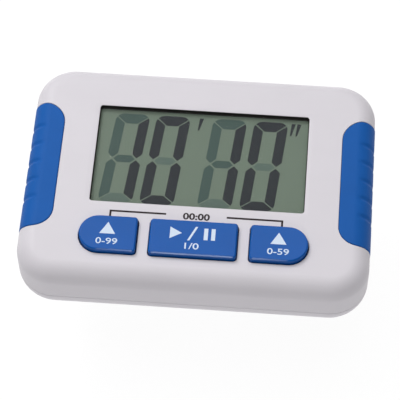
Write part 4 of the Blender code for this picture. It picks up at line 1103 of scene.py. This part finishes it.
SEGMENTS = {
    "right_upper": upright(1, 1),
    "right_lower": upright(1, -1),
    "left_upper": upright(-1, 1),
    "left_lower": upright(-1, -1),
    "top": bar(1),
    "bottom": bar(-1),
    "middle": middle_bar(),
}


def segment_piece(name, outline, centre_x):
    """A segment of a digit, slanted and laid on the film."""
    placed = [(centre_x + x + y * DIGIT_SLANT, DIGIT_Y + y) for x, y in outline]
    return printed(name, placed, FILM_TOP)


def segment_finish(shape, segment):
    """Segments that are off still show: plainly in a one, and hardly where the bar is alone."""
    if segment in LIT[shape]:
        return "dark_segment"
    if shape == "one" and segment != "bottom":
        return "faint_segment"
    return "fainter_segment"


def make_digits():
    """The display shows 10 minutes 10 seconds."""
    groups = {"dark_segment": [], "faint_segment": [], "fainter_segment": []}
    for place, shape in enumerate(("one", "nought", "one", "nought")):
        for segment, outline in SEGMENTS.items():
            piece = segment_piece(f"segment_{place}_{segment}", outline, DIGIT_CENTRES[place])
            groups[segment_finish(shape, segment)].append(piece)
    groups["dark_segment"] += [tick(f"tick_{i}", x) for i, x in enumerate(TICKS)]
    for finish, pieces in groups.items():
        group = merge(f"{finish}s", pieces, finish)
        hand_over(group, "case", "display_film")


TICKS = (-1.3 * MM, 21.6 * MM, 23.0 * MM)  # one stroke after the minutes and two after the seconds
TICK_LOW_Y = 13.9 * MM
TICK_HIGH_Y = 17.5 * MM


def tick(name, x):
    """A slanted stroke, thicker at its top, as in the marks for minutes and seconds of arc."""
    lean = (TICK_HIGH_Y - TICK_LOW_Y) * 2 * DIGIT_SLANT
    outline = [(x - 0.2 * MM, TICK_LOW_Y), (x + 0.2 * MM, TICK_LOW_Y)]
    outline += [(x + lean + 0.5 * MM, TICK_HIGH_Y), (x + lean - 0.5 * MM, TICK_HIGH_Y)]
    return printed(name, outline, FILM_TOP)


# ---------------- print
def numerals(name, figures, low, high, z, finish, weight=0.0):
    """Figures as a thin solid that fills the rectangle between two corners."""
    curve = bpy.data.curves.new(name, "FONT")
    curve.body = figures
    curve.extrude = 0.5
    curve.offset = weight
    curve.resolution_u = 4
    flat = new_piece(name, curve)
    bpy.context.view_layer.update()
    graph = bpy.context.evaluated_depsgraph_get()
    mesh = bpy.data.meshes.new_from_object(flat.evaluated_get(graph))
    bpy.data.objects.remove(flat)
    bm = bmesh.new()
    bm.from_mesh(mesh)
    bpy.data.meshes.remove(mesh)
    least = [min(v.co[axis] for v in bm.verts) for axis in (0, 1)]
    most = [max(v.co[axis] for v in bm.verts) for axis in (0, 1)]
    scales = [(high[axis] - low[axis]) / (most[axis] - least[axis]) for axis in (0, 1)]
    for v in bm.verts:
        v.co.x = low[0] + (v.co.x - least[0]) * scales[0]
        v.co.y = low[1] + (v.co.y - least[1]) * scales[1]
        v.co.z = z + PRINT_HEIGHT / 2 * (1 if v.co.z > 0 else -1)
    return from_bmesh(name, bm, finish)


def strip(name, low, high, z):
    return box(name, (*low, z - PRINT_HEIGHT / 2), (*high, z + PRINT_HEIGHT / 2))


def make_face_print():
    """The bracket that ties the two outer buttons to the noughts that both together set."""
    line = 0.5 * MM
    line_y = -11.65 * MM
    foot_y = -13.7 * MM
    pieces = []
    for inner, outer in ((-7.1 * MM, -20.8 * MM), (7.55 * MM, 21.2 * MM)):
        low_x, high_x = sorted((inner, outer))
        side = 1 if outer > 0 else -1
        pieces.append(strip("arm", (low_x, line_y - line / 2), (high_x, line_y + line / 2), FACE_Z))
        leg = sorted((outer, outer - side * line))
        pieces.append(strip("leg", (leg[0], foot_y), (leg[1], line_y - line / 2 - 0.001 * MM), FACE_Z))
    bracket = merge("zero_bracket", pieces, "dark_ink")
    hand_over(bracket, "case", "white_plastic")
    low, high = (-3.0 * MM, -12.86 * MM), (3.5 * MM, -10.97 * MM)
    noughts = numerals("zero_figures", "00:00", low, high, FACE_Z, "dark_ink", weight=0.03)
    hand_over(noughts, "case", "white_plastic")


def arrow(name, centre, size, z):
    """A small triangle that points towards +Y."""
    outline = [(0.0, size * 0.55), (-size * 0.6, -size * 0.45), (size * 0.6, -size * 0.45)]
    placed = [(centre[0] + x, centre[1] + y) for x, y in outline]
    return printed(name, placed, z)


def play_and_pause(centre, size, z):
    """A play triangle, a stroke and two pause bars, side by side."""
    x, y = centre
    half = size / 2
    triangle = [(x - 3.4 * half, y + half), (x - 3.4 * half, y - half), (x - 1.6 * half, y)]
    slash = [(x - 0.75 * half, y - 1.2 * half), (x - 0.4 * half, y - 1.2 * half)]
    slash += [(x + 0.75 * half, y + 1.2 * half), (x + 0.4 * half, y + 1.2 * half)]
    shapes = [triangle, slash]
    for left in (1.7 * half, 2.8 * half):
        corners = ((left, -half), (left + 0.6 * half, -half), (left + 0.6 * half, half), (left, half))
        shapes.append([(x + p, y + q) for p, q in corners])
    return [printed(f"mark_{i}", outline, z) for i, outline in enumerate(shapes)]


# The range that each button sets, or on and off, with the middle and half width of its figures.
KEY_FIGURES = {
    "minute": ("0-99", -20.6 * MM, 2.6 * MM),
    "start_stop": ("1/0", -0.2 * MM, 1.7 * MM),
    "second": ("0-59", 20.4 * MM, 2.6 * MM),
}
FIGURES_LOW_Y = -21.8 * MM
FIGURES_HIGH_Y = -20.1 * MM
MARK_Y = -17.5 * MM
MARK_SIZE = 3.2 * MM


def make_key_print(key):
    figures, x, half_width = KEY_FIGURES[key]
    low, high = (x - half_width, FIGURES_LOW_Y), (x + half_width, FIGURES_HIGH_Y)
    line = numerals(f"{key}_figures", figures, low, high, KEY_FACE, "white_ink", weight=0.01)
    hand_over(line, f"{key}_key", "blue_plastic")
    if key == "start_stop":
        marks = play_and_pause((x, MARK_Y), MARK_SIZE, KEY_FACE)
    else:
        marks = [arrow("mark", (x, MARK_Y), MARK_SIZE, KEY_FACE)]
    hand_over(merge(f"{key}_marks", marks, "white_ink"), f"{key}_key", "blue_plastic")


# ---------------- buttons
def bevelled(size, softening, steps=3):
    """Insets and drops of points up a bevel of 45 degrees whose two edges are softened."""
    run = softening * math.tan(math.pi / 8)
    points = []
    for centre_inset, centre_drop, start in ((softening, size + run, 0), (size + run, softening, 45)):
        for i in range(steps + 1):
            turn = math.radians(start + 45 * i / steps)
            inset = centre_inset - softening * math.cos(turn)
            points.append((inset, centre_drop - softening * math.sin(turn)))
    return points


def make_keys():
    """Each button: a cap with a bevelled top edge, on a flange that keeps it in, with its stem."""
    flange_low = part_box("start_stop_button")[0].z + 1.35 * MM
    flange_high = flange_low + 1.0 * MM
    for key, side in KEY_SIDES.items():
        levels = [(KEY_FLANGE, flange_low), (KEY_FLANGE, flange_high), (0.0, flange_high)]
        levels += [(-inset, KEY_FACE - drop) for inset, drop in bevelled(KEY_BEVEL, KEY_SOFTENING)]
        cap = stack(f"{key}_cap", partial(key_outline, key), levels)
        low, _, (_, middle_y) = node_box(f"{key}_button")
        outline = circle((side * KEY_STEM_X, middle_y), 2.0 * MM, 32)
        stem = prism(f"{key}_stem", outline, low.z, flange_low + 0.5 * MM)
        cap = combine(cap, "UNION", stem, finish="blue_plastic")
        weight_normals(cap)
        hand_over(cap, f"{key}_key", "blue_plastic", f"{key}_button")
        make_key_print(key)


DOME_WALL = 0.7 * MM


def make_domes():
    """The rubber dome under each button: a thick top, a thin web and a foot."""
    for key in KEY_SIDES:
        low, high, centre = node_box(f"{key}_dome")
        radius = (high.x - low.x) / 2
        foot, top = low.z, high.z
        profile = [(0.0, top), (radius - 1.2 * MM, top), (radius - 1.0 * MM, top - 0.2 * MM)]
        profile += [(radius - 0.8 * MM, foot + 1.5 * MM), (radius - 0.5 * MM, foot + 1.05 * MM)]
        profile += [(radius - 0.15 * MM, foot + 0.8 * MM), (radius, foot + 0.65 * MM), (radius, foot)]
        profile += [(radius - DOME_WALL, foot), (radius - DOME_WALL, foot + 0.35 * MM)]
        profile += [(radius - 0.95 * MM, foot + 0.7 * MM), (radius - 1.2 * MM, foot + 1.1 * MM)]
        profile += [(radius - 1.3 * MM, top - DOME_WALL), (0.0, top - DOME_WALL)]
        dome = turned(f"{key}_rubber_dome", "Z", profile, "silicone", centre)
        hand_over(dome, "case", "silicone", f"{key}_dome")
        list(centre)
        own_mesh(dome)


# ---------------- stand, door, magnets and screws
def make_stand():
    """The fold-out leg: a plate with a framed panel, a barrel along its hinge edge and a pin each end."""
    low_z, high_z = STAND_LOW.z, STAND_LOW.z + STAND_PLATE_HEIGHT
    plate_at = rectangle_at(-STAND_HALF_WIDTH, STAND_HALF_WIDTH, STAND_LOW.y, STAND_AXIS[0], 1.0 * MM)
    leg = rounded_plate("stand_leg_plate", plate_at, low_z, high_z, 0.25 * MM)
    barrel = rod("barrel", BARREL_RADIUS, -STAND_HALF_WIDTH, STAND_HALF_WIDTH)
    pins = rod("pins", PIN_RADIUS, STAND_LOW.x, STAND_HIGH.x)
    leg = combine(leg, "UNION", barrel, pins)
    panel = rectangle_at(-13.5 * MM, 13.5 * MM, STAND_LOW.y + 5.5 * MM, -6 * MM, 1.2 * MM)
    levels = [(0.4 * MM, low_z - 0.4 * MM), (0.15 * MM, low_z), (0.0, low_z + 0.3 * MM)]
    outside = stack("panel", panel, levels)
    dish = prism("dish", panel(0.3 * MM), high_z - 0.5 * MM, high_z + THROUGH)
    groove = prism("groove", rounded_rectangle(7 * MM, 0.3 * MM, 0.25 * MM), -1 * MM, 0.2 * MM)
    shift = (0.0, STAND_LOW.y + 1.3 * MM, low_z)
    grooves = copied("grooves", ROW, groove, "white_plastic", shift, count=3, step=(0.0, 1.3 * MM, 0.0))
    leg = combine(leg, "DIFFERENCE", outside, dish, grooves, finish="white_plastic")
    weight_normals(leg)
    hand_over(leg, "stand_leg", "white_plastic", "stand")


def make_battery_door():
    """The battery door: a plate with finger grooves, an arrow and two tabs."""
    low_z, high_z = DOOR_LOW.z, DOOR_LOW.z + DOOR_PLATE_HEIGHT
    high_y = DOOR_PLATE_HIGH_Y
    plate_at = rectangle_at(DOOR_LOW.x, DOOR_HIGH.x, DOOR_LOW.y, high_y, 0.7 * MM)
    door = rounded_plate("battery_door_plate", plate_at, low_z, high_z, 0.15 * MM)
    tabs = []
    for x in (-TAB_X, TAB_X):
        low_x, high_x = x - TAB_HALF_WIDTH, x + TAB_HALF_WIDTH
        tab_y = high_y - 1.2 * MM
        root = box("root", (low_x, tab_y, 1 * MM), (high_x, high_y - 0.2 * MM, TAB_TOP))
        tongue = box("tongue", (low_x, tab_y, 1.65 * MM), (high_x, DOOR_HIGH.y, TAB_TOP))
        tabs.append(combine(root, "UNION", tongue))
    door = combine(door, "UNION", *tabs)
    depth = low_z + 0.3 * MM
    groove = prism("groove", rounded_rectangle(5 * MM, 0.3 * MM, 0.25 * MM), -1 * MM, depth)
    shift = (0.0, DOOR_LOW.y + 2.4 * MM, 0.0)
    grooves = copied("grooves", ROW, groove, "white_plastic", shift, count=4, step=(0.0, 1.2 * MM, 0.0))
    pointer = [(0.0, 11.2 * MM), (2.4 * MM, 14.6 * MM), (-2.4 * MM, 14.6 * MM)]
    mark = prism("pointer", pointer, -1 * MM, depth - 0.1 * MM)
    door = combine(door, "DIFFERENCE", grooves, mark, finish="white_plastic")
    weight_normals(door)
    hand_over(door, "battery_hatch", "white_plastic", "battery_door")


def make_magnets():
    for magnet in MAGNETS:
        low, high, centre = node_box(magnet)
        outline_at = circle_at(centre, (high.x - low.x) / 2, 80)
        disc = rounded_plate(f"{magnet}_disc", outline_at, low.z, high.z, 0.25 * MM, "magnet")
        hand_over(disc, "case", "steel", magnet)


def make_case_screws():
    """Pan heads with a cross recess, one at each corner of the back."""
    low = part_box("case_screw_1")[0].z
    profile = [(0.02 * MM, low), (0.9 * MM, low + 0.05 * MM), (1.5 * MM, low + 0.25 * MM)]
    profile += [(1.85 * MM, low + 0.6 * MM), (2.0 * MM, low + 1.0 * MM), (2.0 * MM, low + 1.3 * MM)]
    profile += [(0.9 * MM, low + 1.3 * MM), (0.9 * MM, low + 10 * MM), (0.4 * MM, low + 11.7 * MM)]
    screw = turned("screw", "Z", profile)
    arm, half = 1.15 * MM, 0.22 * MM
    slots = [
        box("slot_x", (-arm, -half, low - 1 * MM), (arm, half, low + 0.8 * MM)),
        box("slot_y", (-half, -arm, low - 1 * MM), (half, arm, low + 0.8 * MM)),
    ]
    screw = combine(screw, "DIFFERENCE", *slots)
    screws = at_screws("case_screws", screw, "screw")
    hand_over(screws, "case", "steel", *[f"case_screw_{i}" for i in range(1, 5)])


# ---------------- the cell and its bay
def make_cell():
    """A small dry cell: a sleeve that wraps both shoulders, a flat negative end and a positive nub."""
    centre = ((CELL_LOW.y + CELL_HIGH.y) / 2, (CELL_LOW.z + CELL_HIGH.z) / 2)
    radius = (CELL_HIGH.y - CELL_LOW.y) / 2
    left, right = CELL_LOW.x, CELL_HIGH.x
    shoulder = right - 1.0 * MM
    profile = [(0.02 * MM, left + 0.15 * MM), (3.2 * MM, left + 0.15 * MM), (3.5 * MM, left)]
    profile += [(radius - 0.6 * MM, left), (radius - 0.2 * MM, left + 0.15 * MM), (radius, left + 0.6 * MM)]
    profile += [(radius, shoulder - 0.5 * MM), (radius - 0.2 * MM, shoulder - 0.1 * MM)]
    profile += [(radius - 0.6 * MM, shoulder), (2.4 * MM, shoulder), (2.2 * MM, shoulder - 0.1 * MM)]
    profile += [(1.95 * MM, shoulder), (1.9 * MM, right - 0.25 * MM), (1.6 * MM, right), (0.02 * MM, right)]
    cell = turned("dry_cell", "X", profile, "cell_sleeve", centre=centre)
    hand_over(cell, "case", "cell_sleeve", "battery_cell")


# ---------------- carried-over nodes, floor, light, camera
def finish_nodes():
    """Gives every CAD node that still shows a procedural finish for its slot."""
    for part in frame["record"]["subparts"]:
        node = frame["nodes"][part["node"]]
        for slot in node.material_slots:
            slot.material = FINISHES[part["material_slot"]]


FLOOR_HALF_WIDTH = 1.2
FLOOR_TOP = -23 * MM  # low enough for the stand and the battery door to open above it
FLOOR_THICKNESS = 20 * MM


def make_floor():
    half = FLOOR_HALF_WIDTH
    floor = box("floor", (-half, -half, FLOOR_TOP - FLOOR_THICKNESS), (half, half, FLOOR_TOP))
    material, tree = new_finish("floor_paper")
    fibre = tree.noise(2 * MM, 3.0)
    base = tree.mix(fibre, opaque((0.10, 0.10, 0.10)), opaque((0.12, 0.12, 0.12)))
    lit = {"Emission Color": (1.0, 1.0, 1.0, 1.0), "Emission Strength": 0.92}
    close_finish(tree, {"Base Color": base, "Roughness": 0.9, "Specular IOR Level": 0.0, **lit})
    floor.data.materials.append(material)


def add_light(name, place, size, energy, colour=(1.0, 1.0, 1.0)):
    """A square soft light that faces the timer."""
    light = bpy.data.lights.new(name, "AREA")
    light.size = size
    light.energy = energy
    light.color = colour
    lamp = bpy.data.objects.new(name, light)
    lamp.location = place
    lamp.rotation_euler = (-Vector(place)).to_track_quat("-Z", "Y").to_euler()
    bpy.context.scene.collection.objects.link(lamp)


def make_light():
    world = bpy.data.worlds.new("studio")
    bpy.context.scene.world = world
    world.use_nodes = True
    background = world.node_tree.nodes["Background"]
    background.inputs["Color"].default_value = (1.0, 1.0, 1.0, 1.0)
    background.inputs["Strength"].default_value = 0.25
    add_light("overhead_light", (-0.25, 0.35, 1.1), 1.6, 13.2)
    add_light("key_light", (-0.4, 0.5, 0.75), 0.35, 2.8)
    add_light("front_light", (-0.045, -0.8, 0.45), 0.1, 0.7)


CAMERA_ELEVATION = math.radians(58.89)
CAMERA_AZIMUTH = math.radians(5.14)
CAMERA_ROLL = math.radians(-0.82)
CAMERA_DISTANCE = 498.28 * MM
CAMERA_TARGET = Vector((-0.12, 2.49, 1.50)) * MM
CAMERA_LENS = 178.19


def make_camera():
    level = math.cos(CAMERA_ELEVATION)
    sideways, away = math.sin(CAMERA_AZIMUTH), -math.cos(CAMERA_AZIMUTH)
    back = Vector((sideways * level, away * level, math.sin(CAMERA_ELEVATION)))
    right = Vector((0.0, 0.0, 1.0)).cross(back).normalized()
    up = back.cross(right)
    rolled_right = math.cos(CAMERA_ROLL) * right + math.sin(CAMERA_ROLL) * up
    rolled_up = math.cos(CAMERA_ROLL) * up - math.sin(CAMERA_ROLL) * right
    eye = CAMERA_TARGET + CAMERA_DISTANCE * back
    lens = bpy.data.cameras.new("camera")
    lens.lens = CAMERA_LENS
    lens.sensor_width = 36.0
    lens.clip_start = 0.01
    camera = bpy.data.objects.new("camera", lens)
    turn = Matrix((rolled_right, rolled_up, back)).transposed()
    camera.matrix_world = Matrix.Translation(eye) @ turn.to_4x4()
    bpy.context.scene.collection.objects.link(camera)
    bpy.context.scene.camera = camera
    bpy.context.scene.view_settings.view_transform = "Standard"


finish_nodes()
make_front_cover()
make_back_cover()
make_grips()
make_lens_and_gasket()
make_digits()
make_face_print()
make_keys()
make_domes()
make_stand()
make_battery_door()
make_magnets()
make_case_screws()
make_cell()
make_floor()
make_light()
make_camera()
